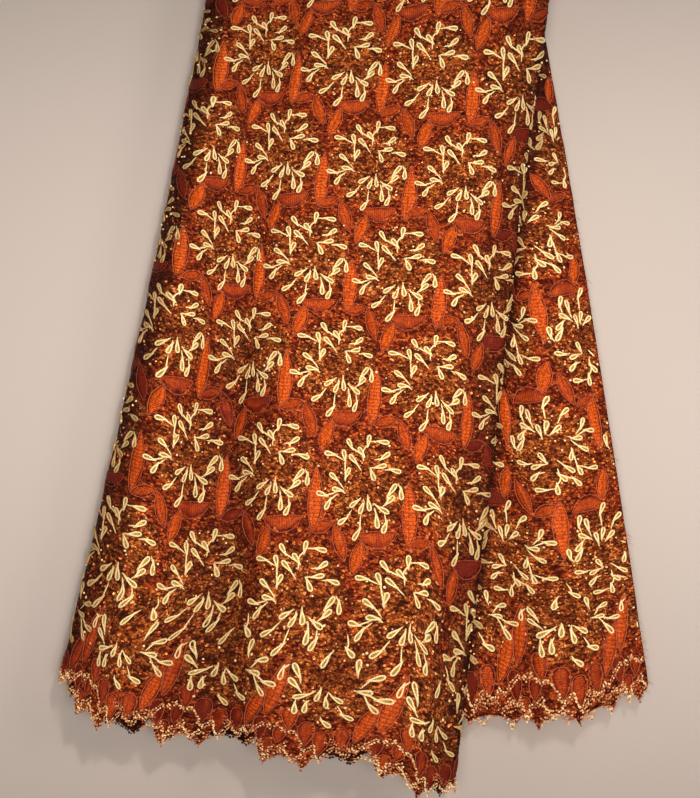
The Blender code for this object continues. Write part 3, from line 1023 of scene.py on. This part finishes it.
def build_rib_group():
    """Ladder Ribs: stitched ribs across a leaf and a line down its middle."""
    group, inputs, outputs = new_group(
        "Ladder Ribs",
        [("Vector", "NodeSocketVector", None), ("Spacing", "NodeSocketFloat", 0.0018)],
        [("Rib", "NodeSocketFloat"), ("Vein", "NodeSocketFloat"), ("Edge", "NodeSocketFloat"),
         ("Height", "NodeSocketFloat")])
    parts = add_node(group, "ShaderNodeSeparateXYZ", {0: inputs["Vector"]})
    turns = calculate(group, "DIVIDE", parts.outputs[0], inputs["Spacing"])
    slope = calculate(group, "MULTIPLY", calculate(group, "ABSOLUTE", calculate(
        group, "SUBTRACT", parts.outputs[1], 0.5)), 0.25)
    wave = calculate(group, "SINE", calculate(group, "MULTIPLY", calculate(
        group, "ADD", turns, slope), 2 * np.pi))
    rib = remap(group, wave, 0.25, 0.95)
    middle = calculate(group, "ABSOLUTE", calculate(group, "SUBTRACT", parts.outputs[1], 0.5))
    vein = remap(group, middle, 0.02, 0.09, 1.0, 0.0)
    group.links.new(rib, outputs["Rib"])
    group.links.new(vein, outputs["Vein"])
    group.links.new(remap(group, middle, 0.22, 0.5), outputs["Edge"])
    height = calculate(group, "SUBTRACT", calculate(group, "MULTIPLY", wave, -0.5), vein)
    group.links.new(height, outputs["Height"])


def new_material(name, roughness, specular=0.5):
    """A material with its Principled BSDF's inputs and its tree."""
    material = bpy.data.materials.new(name)
    material.use_nodes = True
    shader = material.node_tree.nodes["Principled BSDF"]
    shader.inputs["Roughness"].default_value = roughness
    shader.inputs["Specular IOR Level"].default_value = specular
    return material, material.node_tree, shader.inputs


def link_bump(tree, sockets, height, distance, strength):
    """Joins a height through a Bump node to the shader's normal."""
    inputs = {"Height": height, "Distance": distance, "Strength": strength}
    tree.links.new(add_node(tree, "ShaderNodeBump", inputs).outputs[0], sockets["Normal"])


def net_material():
    """The net ground: red brown between the flowers, olive gold within them, knotted all over, with painted
    shade in its gaps and its folds.
    """
    material, tree, sockets = new_material("lace_net", 0.75, 0.05)
    uv = add_node(tree, "ShaderNodeUVMap", uv_map="map").outputs[0]
    knots = use_group(tree, "Thread Knots", {"Vector": uv, "Scale": 540.0}).outputs
    fine = use_group(tree, "Thread Knots", {"Vector": uv, "Scale": 1000.0}).outputs
    flower = use_group(tree, "Flower Ground", {"Vector": uv, "Radius": 0.037}).outputs[0]
    tone = calculate(tree, "MULTIPLY", knots["Tone"], 0.62)
    tone = calculate(tree, "ADD", tone, calculate(tree, "MULTIPLY", fine["Tone"], 0.38))
    between = colour_ramp(tree, tone, (
        (0.14, srgb(52, 12, 8)), (0.38, srgb(104, 30, 12)), (0.58, srgb(150, 54, 20)),
        (0.78, srgb(188, 80, 28)), (0.94, srgb(218, 122, 56))))
    within = colour_ramp(tree, tone, (
        (0.14, srgb(50, 16, 8)), (0.36, srgb(98, 38, 14)), (0.58, srgb(146, 68, 26)),
        (0.78, srgb(192, 98, 36)), (0.94, srgb(230, 152, 78))))
    colour = mix_colours(tree, flower, between, within)
    blotch = noise(tree, uv, 85.0, 2.0)
    shade = remap(tree, blotch, 0.35, 0.65, 0.72, 1.32)
    tint = add_node(tree, "ShaderNodeCombineColor", {0: shade, 1: shade, 2: shade}).outputs[0]
    colour = mix_colours(tree, 1.0, colour, tint, "MULTIPLY")
    # Painted shade in the gaps between the stitches, where the darker layers behind would show
    dark = calculate(tree, "MULTIPLY", knots["Gap"], 0.72)
    colour = mix_colours(tree, dark, colour, (*srgb(38, 12, 8), 1.0))
    # Painted fold shade, read from the tone attribute, towards a painted shade colour
    deep = add_node(tree, "ShaderNodeAttribute", attribute_name="tone").outputs["Fac"]
    colour = mix_colours(tree, calculate(tree, "MULTIPLY", deep, 0.82), colour, (*srgb(34, 9, 8), 1.0))
    tree.links.new(colour, sockets["Base Color"])
    height = calculate(tree, "ADD", knots["Height"], calculate(tree, "MULTIPLY", fine["Height"], 0.5))
    link_bump(tree, sockets, height, 0.0007, 0.9)
    tree.links.new(remap(tree, tone, 0.5, 0.9, 0.8, 0.42), sockets["Roughness"])
    return material


def cord_material(name, colour, roughness=0.55, twist=0.0011):
    """Plied thread: a wave that climbs round the cord, with painted shade between its turns and random
    unevenness, and painted fold shade where its tone is below zero.
    """
    material, tree, sockets = new_material(name, roughness, 0.25)
    uv = add_node(tree, "ShaderNodeUVMap", uv_map="map").outputs[0]
    parts = add_node(tree, "ShaderNodeSeparateXYZ", {0: uv})
    turns = calculate(tree, "ADD", calculate(tree, "DIVIDE", parts.outputs[0], twist),
                      calculate(tree, "MULTIPLY", parts.outputs[1], 2.0))
    wave = calculate(tree, "SINE", calculate(tree, "MULTIPLY", turns, 2 * np.pi))
    place = add_node(tree, "ShaderNodeTexCoord").outputs["Object"]
    uneven = noise(tree, place, 420.0, 2.0)
    darker = tuple(part * 0.78 * share for part, share in zip(colour, (1.0, 0.90, 0.76)))
    # Painted shade between the cord's turns, mixed with random unevenness
    share = remap(tree, calculate(tree, "ADD", wave, calculate(tree, "MULTIPLY", uneven, 2.4)), 0.2, 1.6)
    thread = mix_colours(tree, share, (*darker, 1.0), (*colour, 1.0))
    # Painted fold shade where the tone attribute falls below zero
    deep = add_node(tree, "ShaderNodeAttribute", attribute_name="tone").outputs["Fac"]
    deep = calculate(tree, "MULTIPLY", deep, -0.75, clamp=True)
    shaded = (colour[0] * 0.30, colour[1] * 0.14, colour[2] * 0.06, 1.0)
    tree.links.new(mix_colours(tree, deep, thread, shaded), sockets["Base Color"])
    link_bump(tree, sockets, wave, 0.00012, 0.7)
    return material


def leaf_material(colours):
    """Satin stitched leaves, ribbed like a ladder, from dull to bright by their tone, which also holds
    their painted fold shade.
    """
    material, tree, sockets = new_material("lace_leaf", 0.55, 0.07)
    uv = add_node(tree, "ShaderNodeUVMap", uv_map="map").outputs[0]
    ribs = use_group(tree, "Ladder Ribs", {"Vector": uv, "Spacing": 0.0018}).outputs
    # The tone attribute is each leaf's own tone, less its painted fold shade
    tone = add_node(tree, "ShaderNodeAttribute", attribute_name="tone").outputs["Fac"]
    place = add_node(tree, "ShaderNodeTexCoord").outputs["Object"]
    speckle = noise(tree, place, 760.0, 3.0)
    blotch = noise(tree, place, 130.0, 1.0)
    tone = calculate(tree, "ADD", tone, calculate(tree, "MULTIPLY", calculate(
        tree, "SUBTRACT", blotch, 0.5), 0.7))
    tone = calculate(tree, "SUBTRACT", tone, calculate(tree, "MULTIPLY", ribs["Edge"], 0.40))
    tone = calculate(tree, "ADD", tone, 0.22, clamp=True)
    colour = colour_ramp(tree, tone, (
        (0.0, srgb(84, 20, 12)), (0.22, colours.dull_leaf), (0.9, colours.bright_leaf)))
    grain = remap(tree, speckle, 0.40, 0.60, 0.0, 0.72)
    colour = mix_colours(tree, grain, colour, (*srgb(116, 32, 12), 1.0))
    for mask, share, thread in (("Rib", 0.50, srgb(96, 24, 10)), ("Vein", 0.35, srgb(110, 30, 14))):
        colour = mix_colours(tree, calculate(tree, "MULTIPLY", ribs[mask], share), colour, (*thread, 1.0))
    tree.links.new(colour, sockets["Base Color"])
    height = calculate(tree, "ADD", ribs["Height"], calculate(tree, "MULTIPLY", speckle, 1.2))
    link_bump(tree, sockets, height, 0.0003, 0.8)
    return material


def filling_material(colours):
    """Thread that fills the buds."""
    material, tree, sockets = new_material("lace_bud_filling", 0.6, 0.15)
    place = add_node(tree, "ShaderNodeTexCoord").outputs["Object"]
    grain = noise(tree, place, 1100.0, 2.0)
    darker = tuple(part * 0.45 for part in colours.olive)
    share = remap(tree, grain, 0.35, 0.65)
    tree.links.new(mix_colours(tree, share, (*darker, 1.0), (*colours.olive, 1.0)), sockets["Base Color"])
    link_bump(tree, sockets, grain, 0.0003, 0.8)
    return material


def bead_material(colours):
    """Thread knots and beads, from a dark thread over the contour's colour to cream by their tone; on the
    hem's hidden beads the dark end is painted shadow.
    """
    material, tree, sockets = new_material("lace_bead", 0.5, 0.25)
    tone = add_node(tree, "ShaderNodeAttribute", attribute_name="tone").outputs["Fac"]
    colour = colour_ramp(tree, tone, (
        (0.10, srgb(44, 28, 20)), (0.42, srgb(176, 84, 48)), (0.70, srgb(224, 168, 112)),
        (0.95, colours.cream)))
    tree.links.new(colour, sockets["Base Color"])
    return material


def sequin_material():
    """Thin foil discs from brown gold to pale gold by their tone."""
    material, tree, sockets = new_material("lace_sequin", 0.30)
    tone = add_node(tree, "ShaderNodeAttribute", attribute_name="tone").outputs["Fac"]
    colour = colour_ramp(tree, tone, (
        (0.0, srgb(92, 34, 16)), (0.35, srgb(150, 60, 24)), (0.62, srgb(218, 98, 36)),
        (0.82, srgb(250, 160, 84)), (1.0, srgb(255, 226, 170))))
    tree.links.new(colour, sockets["Base Color"])
    place = add_node(tree, "ShaderNodeTexCoord").outputs["Object"]
    wear = noise(tree, place, 700.0, 1.0)
    tree.links.new(remap(tree, wear, 0.3, 0.7, 0.22, 0.46), sockets["Roughness"])
    sockets["Metallic"].default_value = 0.5
    return material


def scene_material(name):
    """A material by name, made on first use."""
    if name not in bpy.data.materials:
        if "Flower Ground" not in bpy.data.node_groups:
            build_flower_group()
            build_thread_group()
            build_rib_group()
        colours = bpy.context.scene.lace_colours
        makers = {
            "lace_net": net_material,
            "lace_cord": lambda: cord_material("lace_cord", colours.cream),
            "lace_contour": lambda: cord_material("lace_contour", colours.contour, 0.6, 0.0008),
            "lace_bead": lambda: bead_material(colours),
            "lace_leaf": lambda: leaf_material(colours),
            "lace_bud_filling": lambda: filling_material(colours),
            "lace_sequin": sequin_material,
        }
        makers[name]()
    return bpy.data.materials[name]


class LaceRegion(NamedTuple):
    """A part of the cloth that is dressed as one set of pieces, with the fineness of its cords, and
    in full where it is seen."""

    name: str
    inner: bool
    first_column: float
    last_column: float
    ring_points: int
    sides: int
    seen: bool = True


REGIONS = (
    LaceRegion("front", False, FIRST_COLUMN, 0.0, 14, 4),
    LaceRegion("back", False, 0.0, LAST_COLUMN, 12, 3),
    LaceRegion("panel", True, 3.3, LAST_COLUMN, 14, 4),
    LaceRegion("inside", True, FIRST_COLUMN, 3.3, 8, 3, False),
)


def region_places(region, seed):
    """The field's and the border's flowers of one region."""
    columns = (region.first_column, region.last_column)
    return flower_places(region.inner, *columns, seed), border_places(region.inner, *columns, seed + 20)


class LACE_OT_net(bpy.types.Operator):
    """Hang the net ground of the lace on the folds, scalloped along both hems"""

    bl_idname = "lace.net"
    bl_label = "Net Ground"
    rows: bpy.props.IntProperty(name="Rows", description="Steps from hem to hem", default=100, min=20)
    columns: bpy.props.IntProperty(
        name="Columns", description="Steps along the cloth", default=360, min=40)

    def execute(self, context):
        share = np.linspace(0, 1, self.columns)[None, :] + np.zeros((self.rows, 1))
        rise = np.linspace(0, 1, self.rows)[:, None] + np.zeros((1, self.columns))
        # From a first guess the columns move in a few rounds to the cloth's ends at their height
        column = GUESSED_START + GUESSED_SPAN * share
        for _ in range(GUESS_ROUNDS):
            lowest = hem_rise(column, False) + BARE_EDGE
            highest = CLOTH_WIDTH - hem_rise(column, True) - BARE_EDGE
            v = lowest + (highest - lowest) * rise
            first, last = cloth_ends(column * REPEAT_LENGTH, v)
            column = first + (last - first) * share
        u = column * REPEAT_LENGTH
        points = hang(u, v, np.zeros_like(u)).reshape(1, -1, 3)
        faces, _ = grid_corners(self.rows, self.columns, False, False)
        uv = np.stack([u, v], axis=-1).reshape(-1, 2)[faces]
        kit = Kit(points, (faces,), (uv,), np.zeros(1))
        piece = put_mesh("lace_net", [(kit, (points, np.zeros(1)))], scene_material("lace_net"))
        # The net's tone attribute holds its painted fold shade
        piece.data.attributes["tone"].data.foreach_set("value", fold_shade(u, v).ravel())
        thickness = piece.modifiers.new("thickness", "SOLIDIFY")
        thickness.thickness = context.scene.lace_sizes.net_thickness
        thickness.offset = 0.0
        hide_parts("lace_cloth")
        return {"FINISHED"}


class LACE_OT_sprays(bpy.types.Operator):
    """Sew the cream corded sprays of buds over the field and the borders"""

    bl_idname = "lace.sprays"
    bl_label = "Corded Sprays"

    def execute(self, context):
        sizes = context.scene.lace_sizes
        for number, region in enumerate(REGIONS):
            field, border = region_places(region, 11 + number)
            cords = []
            fillings = []
            for buds, places in ((FLOWER_BUDS, field), (BORDER_BUDS, border)):
                loops, stems, filling = spray_kits(buds, region.ring_points, region.sides, sizes)
                cords.append((loops, sewn(loops, places, painted_shade_share=PAINTED_FOLD_SHADE)))
                if region.seen:
                    cords.append((stems, sewn(stems, places, painted_shade_share=PAINTED_FOLD_SHADE)))
                    fillings.append((filling, sewn(filling, places)))
            put_mesh(f"spray_cords_{region.name}", cords, scene_material("lace_cord"))
            if region.seen:
                put_mesh(f"spray_fillings_{region.name}", fillings, scene_material("lace_bud_filling"))
        return {"FINISHED"}


class LACE_OT_leaves(bpy.types.Operator):
    """Sew the stitched leaves and the threads round them between the flowers"""

    bl_idname = "lace.leaves"
    bl_label = "Stitched Leaves"

    def execute(self, context):
        sizes = context.scene.lace_sizes
        for number, region in enumerate(REGIONS):
            field, border = region_places(region, 51 + number)
            pads = []
            rims = []
            lowest = HALF_WIDTH - (ROW_COUNT - 0.5) * ROW_STEP
            # Inside the folds only the long leaves are sewn on, as the others lie too low for its hem
            hem_leaves = BORDER_LEAVES if region.seen else BORDER_LEAVES[4:6]
            for leaves, places in ((FLOWER_LEAVES, field), (hem_leaves, border)):
                if leaves is FLOWER_LEAVES:
                    # The outer layer's lowest row has the border's leaves below it instead
                    clear = places.v > lowest
                    places = Places(*(values[clear] for values in places))
                pad, rim = leaf_kits(leaves, sizes)
                pads.append((pad, sewn(pad, places, painted_shade_share=PAINTED_FOLD_SHADE)))
                rims.append((rim, sewn(rim, places, painted_shade_share=PAINTED_FOLD_SHADE)))
            put_mesh(f"leaf_pads_{region.name}", pads, scene_material("lace_leaf"))
            if region.seen:
                put_mesh(f"leaf_contours_{region.name}", rims, scene_material("lace_contour"))
        return {"FINISHED"}


class LACE_OT_sequins(bpy.types.Operator):
    """Scatter the foil sequins and small cream beads over the flowers"""

    bl_idname = "lace.sequins"
    bl_label = "Sequins"
    sequins: bpy.props.IntProperty(
        name="Sequins", description="Sequins on one flower", default=90, min=0)
    beads: bpy.props.IntProperty(
        name="Beads", description="Cream beads on one flower", default=30, min=0)

    def execute(self, context):
        sizes = context.scene.lace_sizes
        for number, region in enumerate(REGIONS):
            if not region.seen:
                continue
            rng = np.random.default_rng(91 + number)
            field, border = region_places(region, 11 + number)
            flowers = Places(*(np.concatenate(pair) for pair in zip(field, border)))
            discs = self.foil(rng, flowers, sizes.sequin_width)
            put_mesh(f"sequins_{region.name}", discs, scene_material("lace_sequin"), smooth=False)
            spots = self.scattered(rng, flowers, self.beads, BEAD_REACH)
            kit = bead_kit(np.zeros((1, 2)), sizes.bead_width, FLOWER_BEAD_LIFT)
            put_mesh(f"flower_beads_{region.name}", [(kit, sewn(kit, spots))], scene_material("lace_bead"))
        return {"FINISHED"}

    def scattered(self, rng, flowers, each, radius):
        """Places spread evenly over discs round the flowers."""
        count = len(flowers.u) * each
        angle = rng.uniform(0, 2 * np.pi, count)
        reach = radius * np.sqrt(rng.uniform(0.02, 1, count))
        return Places(
            np.repeat(flowers.u, each) + reach * np.cos(angle),
            np.repeat(flowers.v, each) + reach * np.sin(angle),
            np.ones(count), angle, rng.uniform(0.8, 1.5, count), rng.uniform(0.0, 0.5, count))

    def foil(self, rng, flowers, width):
        """Six-sided shallow cups, each leaning by its own small angle."""
        angle = np.arange(6) * np.pi / 3
        rim = np.stack([np.cos(angle), np.sin(angle)], axis=1) * width / 2
        batches = []
        index = np.arange(6)
        fan = np.stack([index, (index + 1) % 6, np.full(6, 6)], axis=1)
        leans = (-0.55, -0.3, 0.0, 0.3, 0.55)
        each = self.sequins // len(leans)
        for lean in leans:
            lift = np.append(0.0010 + rim[:, 0] * lean, 0.0007)
            points = np.concatenate([np.vstack([rim, [0, 0]]), lift[:, None]], axis=1)[None]
            kit = Kit(points, (fan,), (np.zeros((6, 3, 2)),), np.array([0.1 + 0.5 * abs(lean)]))
            batches.append((kit, sewn(kit, self.scattered(rng, flowers, each, SEQUIN_REACH))))
        return batches


class LACE_OT_hem(bpy.types.Operator):
    """Edge both hems with rows and zigzags of thread beads"""

    bl_idname = "lace.hem"
    bl_label = "Picot Hem"
    rows: bpy.props.IntProperty(name="Rows", description="Rows of beads along the edge", default=3, min=1)

    def execute(self, context):
        width = context.scene.lace_sizes.bead_width
        for inner in (False, True):
            single = bead_kit(np.zeros((1, 2)), width, EDGE_BEAD_LIFT)
            batches = [(single, sewn(single, self.edge_places(inner, row))) for row in range(self.rows)]
            # The zigzags of the inner layer's front lie hidden behind the outer layer
            border = border_places(inner, 0.0 if inner else FIRST_COLUMN, LAST_COLUMN, 5)
            for zigzag in BEAD_ZIGZAGS:
                kit = bead_kit(self.zigzag_beads(zigzag), width, ZIGZAG_LIFT)
                batches.append((kit, sewn(kit, border)))
            name = "inner" if inner else "outer"
            put_mesh(f"hem_picots_{name}", batches, scene_material("lace_bead"))
        return {"FINISHED"}

    def zigzag_beads(self, corners):
        """Two rows of even places along a zigzag, a little uneven."""
        points = np.array(corners, float)
        lengths = np.append(0, np.cumsum(np.linalg.norm(np.diff(points, axis=0), axis=1)))
        wanted = np.arange(0, lengths[-1], BEAD_STEP / MILLIMETRE)
        along = np.stack([np.interp(wanted, lengths, points[:, axis]) for axis in (0, 1)], axis=1)
        rows = np.concatenate([along, along[:-1] + (0.9, -2.1)])
        return (rows + np.random.default_rng(23).normal(0, 0.4, rows.shape)) * MILLIMETRE

    def edge_places(self, inner, row):
        """One row of beads along the hem's scallops and teeth, with painted shadow where it hangs behind
        the front.
        """
        rng = np.random.default_rng(17 + row + 5 * inner)
        column = np.arange(FIRST_COLUMN, LAST_COLUMN, BEAD_STEP / REPEAT_LENGTH)
        count = len(column)
        column = column + rng.normal(0, 0.004, count)
        rise = hem_rise(column, inner) + 0.0023 * row + rng.normal(0, 0.0004, count)
        v = CLOTH_WIDTH - rise if inner else rise
        # The inner layer's beads behind the front get a painted shadow, the rest a random tone
        shade = np.where(inner & (column < 0), -0.6, 0.0) + rng.uniform(-0.2, 0.3, count)
        return Places(column * REPEAT_LENGTH, v, np.full(count, -1.0 if inner else 1.0),
                      rng.uniform(0, 1, count), rng.uniform(0.75, 1.3, count), shade)


class LACE_OT_threads(bpy.types.Operator):
    """Let a few loose threads hang from the raw cut ends"""

    bl_idname = "lace.threads"
    bl_label = "Loose Threads"
    count: bpy.props.IntProperty(name="Threads", description="Loose threads", default=46, min=1)

    def execute(self, context):
        rng = np.random.default_rng(7)
        v = CLOTH_WIDTH - 0.012 - 0.5 * rng.uniform(0, 1, self.count) ** 2
        v = np.where(rng.uniform(0, 1, self.count) < 0.35, CLOTH_WIDTH - v, v)
        _, last = cloth_ends(np.full(self.count, 5.8 * REPEAT_LENGTH), v)
        start = hang((last - 0.01) * REPEAT_LENGTH, v, np.full(self.count, 0.0004))
        length = rng.uniform(0.002, 0.010, self.count)[:, None]
        t = np.linspace(0, 1, 6)[None, :]
        swing = rng.normal(0, 0.5, self.count)[:, None]
        x = start[:, :1] + length * (t - 0.35 * t ** 2)
        y = start[:, 1:2] + length * 0.4 * swing * t ** 2
        z = start[:, 2:] + length * (0.25 * swing * t - (0.4 + 0.3 * swing ** 2) * t ** 2)
        path = np.stack([x, y, z], axis=-1)
        angle = np.arange(3) * 2 * np.pi / 3
        ring = np.stack([0 * angle, np.cos(angle), np.sin(angle)], axis=-1) * 0.00014
        points = (path[:, :, None] + ring).reshape(self.count, -1, 3)
        faces, uv = grid_corners(6, 3, False, True)
        caps = (np.array([[2, 1, 0]]), np.array([[15, 16, 17]]))
        maps = (uv * MILLIMETRE, np.zeros((1, 3, 2)), np.zeros((1, 3, 2)))
        kit = Kit(points[:1], (faces, *caps), maps, np.zeros(1))
        tones = np.full(self.count, 0.3)
        put_mesh("loose_threads", [(kit, (points, tones))], scene_material("lace_bead"))
        return {"FINISHED"}


class LACE_OT_stage(bpy.types.Operator):
    """Set the pale floor and wall, the soft lights and the camera"""

    bl_idname = "lace.stage"
    bl_label = "Stage"

    def execute(self, context):
        wall_colour = context.scene.lace_colours.wall
        floor = self.plane("floor", [(x, y, FLOOR_LEVEL) for x, y in ((-3, -4), (3, -4), (3, 2), (-3, 2))])
        corners = ((-3, FLOOR_LEVEL), (3, FLOOR_LEVEL), (3, 2.2), (-3, 2.2))
        wall = self.plane("wall", [(x, WALL_DEPTH, z) for x, z in corners])
        for panel in (floor, wall):
            panel.data.materials.append(self.plaster(panel.name, wall_colour, panel is wall))
        key = self.light("key", "SPOT", (0.34, -2.80, 0.62), 115.0, WARM_LIGHT, AIM)
        key.shadow_soft_size = 0.07
        fill = self.light("fill", "SPOT", (0.05, -3.10, -0.42), 600.0, (1.0, 0.96, 0.91), AIM)
        fill.shadow_soft_size = 0.55
        for lamp in (key, fill):
            lamp.spot_size = np.radians(18)
            lamp.spot_blend = 1.0
            # A wide cone that is low, as the photo is darker towards its top and bottom
            bpy.data.objects[lamp.name].scale = (3.0, 1.0, 1.0)
        side = self.light("side", "AREA", (1.7, -2.3, 0.1), 15.0, WARM_LIGHT, (0.0, 0.0, -0.35))
        side.size = 0.9
        back = self.light("back", "AREA", (0.6, 2.6, 1.2), 70.0, (1.0, 0.97, 0.94), (-0.02, 0.0, -0.35))
        back.size = 2.0
        world = bpy.data.worlds.new("studio")
        world.use_nodes = True
        background = world.node_tree.nodes["Background"]
        background.inputs["Color"].default_value = (0.95, 0.97, 1.0, 1.0)
        background.inputs["Strength"].default_value = 0.20
        context.scene.world = world
        context.scene.view_settings.view_transform = "Standard"
        data = bpy.data.cameras.new("camera")
        # The sensor spans the picture's longer side, its height
        data.sensor_width = SENSOR_WIDTH
        data.lens = SENSOR_WIDTH / (VIEW_HEIGHT / VIEW_DISTANCE)
        camera = bpy.data.objects.new("camera", data)
        camera.location = (-0.0256, -3.0, -0.3512)
        camera.rotation_euler = (np.pi / 2, 0, 0)
        context.scene.collection.objects.link(camera)
        context.scene.camera = camera
        return {"FINISHED"}

    def plane(self, name, corners):
        """One flat square between four corners."""
        mesh = bpy.data.meshes.new(name)
        mesh.from_pydata(corners, [], [(0, 1, 2, 3)])
        panel = bpy.data.objects.new(name, mesh)
        bpy.context.scene.collection.objects.link(panel)
        return panel

    def plaster(self, name, colour, one_sided):
        """Faintly uneven paint, and on the wall clear from behind and to the lamp behind it."""
        material, tree, sockets = new_material(f"{name}_paint", 0.9)
        place = add_node(tree, "ShaderNodeTexCoord").outputs["Object"]
        cloud = noise(tree, place, 2.2, 2.0)
        darker = tuple(part * 0.94 for part in colour)
        share = remap(tree, cloud, 0.3, 0.7)
        tree.links.new(mix_colours(tree, share, (*darker, 1.0), (*colour, 1.0)), sockets["Base Color"])
        if one_sided:
            behind = add_node(tree, "ShaderNodeNewGeometry").outputs["Backfacing"]
            shadow = add_node(tree, "ShaderNodeLightPath").outputs["Is Shadow Ray"]
            behind = calculate(tree, "MAXIMUM", behind, shadow)
            clear = add_node(tree, "ShaderNodeBsdfTransparent").outputs[0]
            principled = tree.nodes["Principled BSDF"].outputs[0]
            mixed = add_node(tree, "ShaderNodeMixShader", {0: behind, 1: principled, 2: clear})
            tree.links.new(mixed.outputs[0], tree.nodes["Material Output"].inputs[0])
        return material

    def light(self, name, kind, place, power, colour, target):
        """A lamp at its place, turned to its target."""
        data = bpy.data.lights.new(name, kind)
        data.energy = power
        data.color = colour
        lamp = bpy.data.objects.new(name, data)
        lamp.location = place
        aim = Vector(target) - Vector(place)
        lamp.rotation_euler = aim.to_track_quat("-Z", "Y").to_euler()
        bpy.context.scene.collection.objects.link(lamp)
        return data


class LACE_PT_panel(bpy.types.Panel):
    """The sizes, the colours and a button for each piece"""

    bl_idname = "LACE_PT_panel"
    bl_label = "Lace"
    bl_space_type = "VIEW_3D"
    bl_region_type = "UI"
    bl_category = "Lace"

    def draw(self, context):
        for group in (context.scene.lace_sizes, context.scene.lace_colours):
            for name in group.__annotations__:
                self.layout.prop(group, name)
        for operator in OPERATORS:
            self.layout.operator(operator.bl_idname)


OPERATORS = (
    LACE_OT_net, LACE_OT_sprays, LACE_OT_leaves, LACE_OT_sequins, LACE_OT_hem, LACE_OT_threads,
    LACE_OT_stage,
)
CLASSES = (LaceSizes, LaceColours, *OPERATORS, LACE_PT_panel)


def register():
    for cls in CLASSES:
        bpy.utils.register_class(cls)
    bpy.types.Scene.lace_sizes = bpy.props.PointerProperty(type=LaceSizes)
    bpy.types.Scene.lace_colours = bpy.props.PointerProperty(type=LaceColours)


def unregister():
    del bpy.types.Scene.lace_sizes
    del bpy.types.Scene.lace_colours
    for cls in reversed(CLASSES):
        bpy.utils.unregister_class(cls)


def main():
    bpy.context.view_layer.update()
    register()
    bpy.ops.lace.net()
    bpy.ops.lace.sprays()
    bpy.ops.lace.leaves()
    bpy.ops.lace.sequins()
    bpy.ops.lace.hem()
    bpy.ops.lace.threads()
    bpy.ops.lace.stage()


if __name__ == "__main__":
    main()
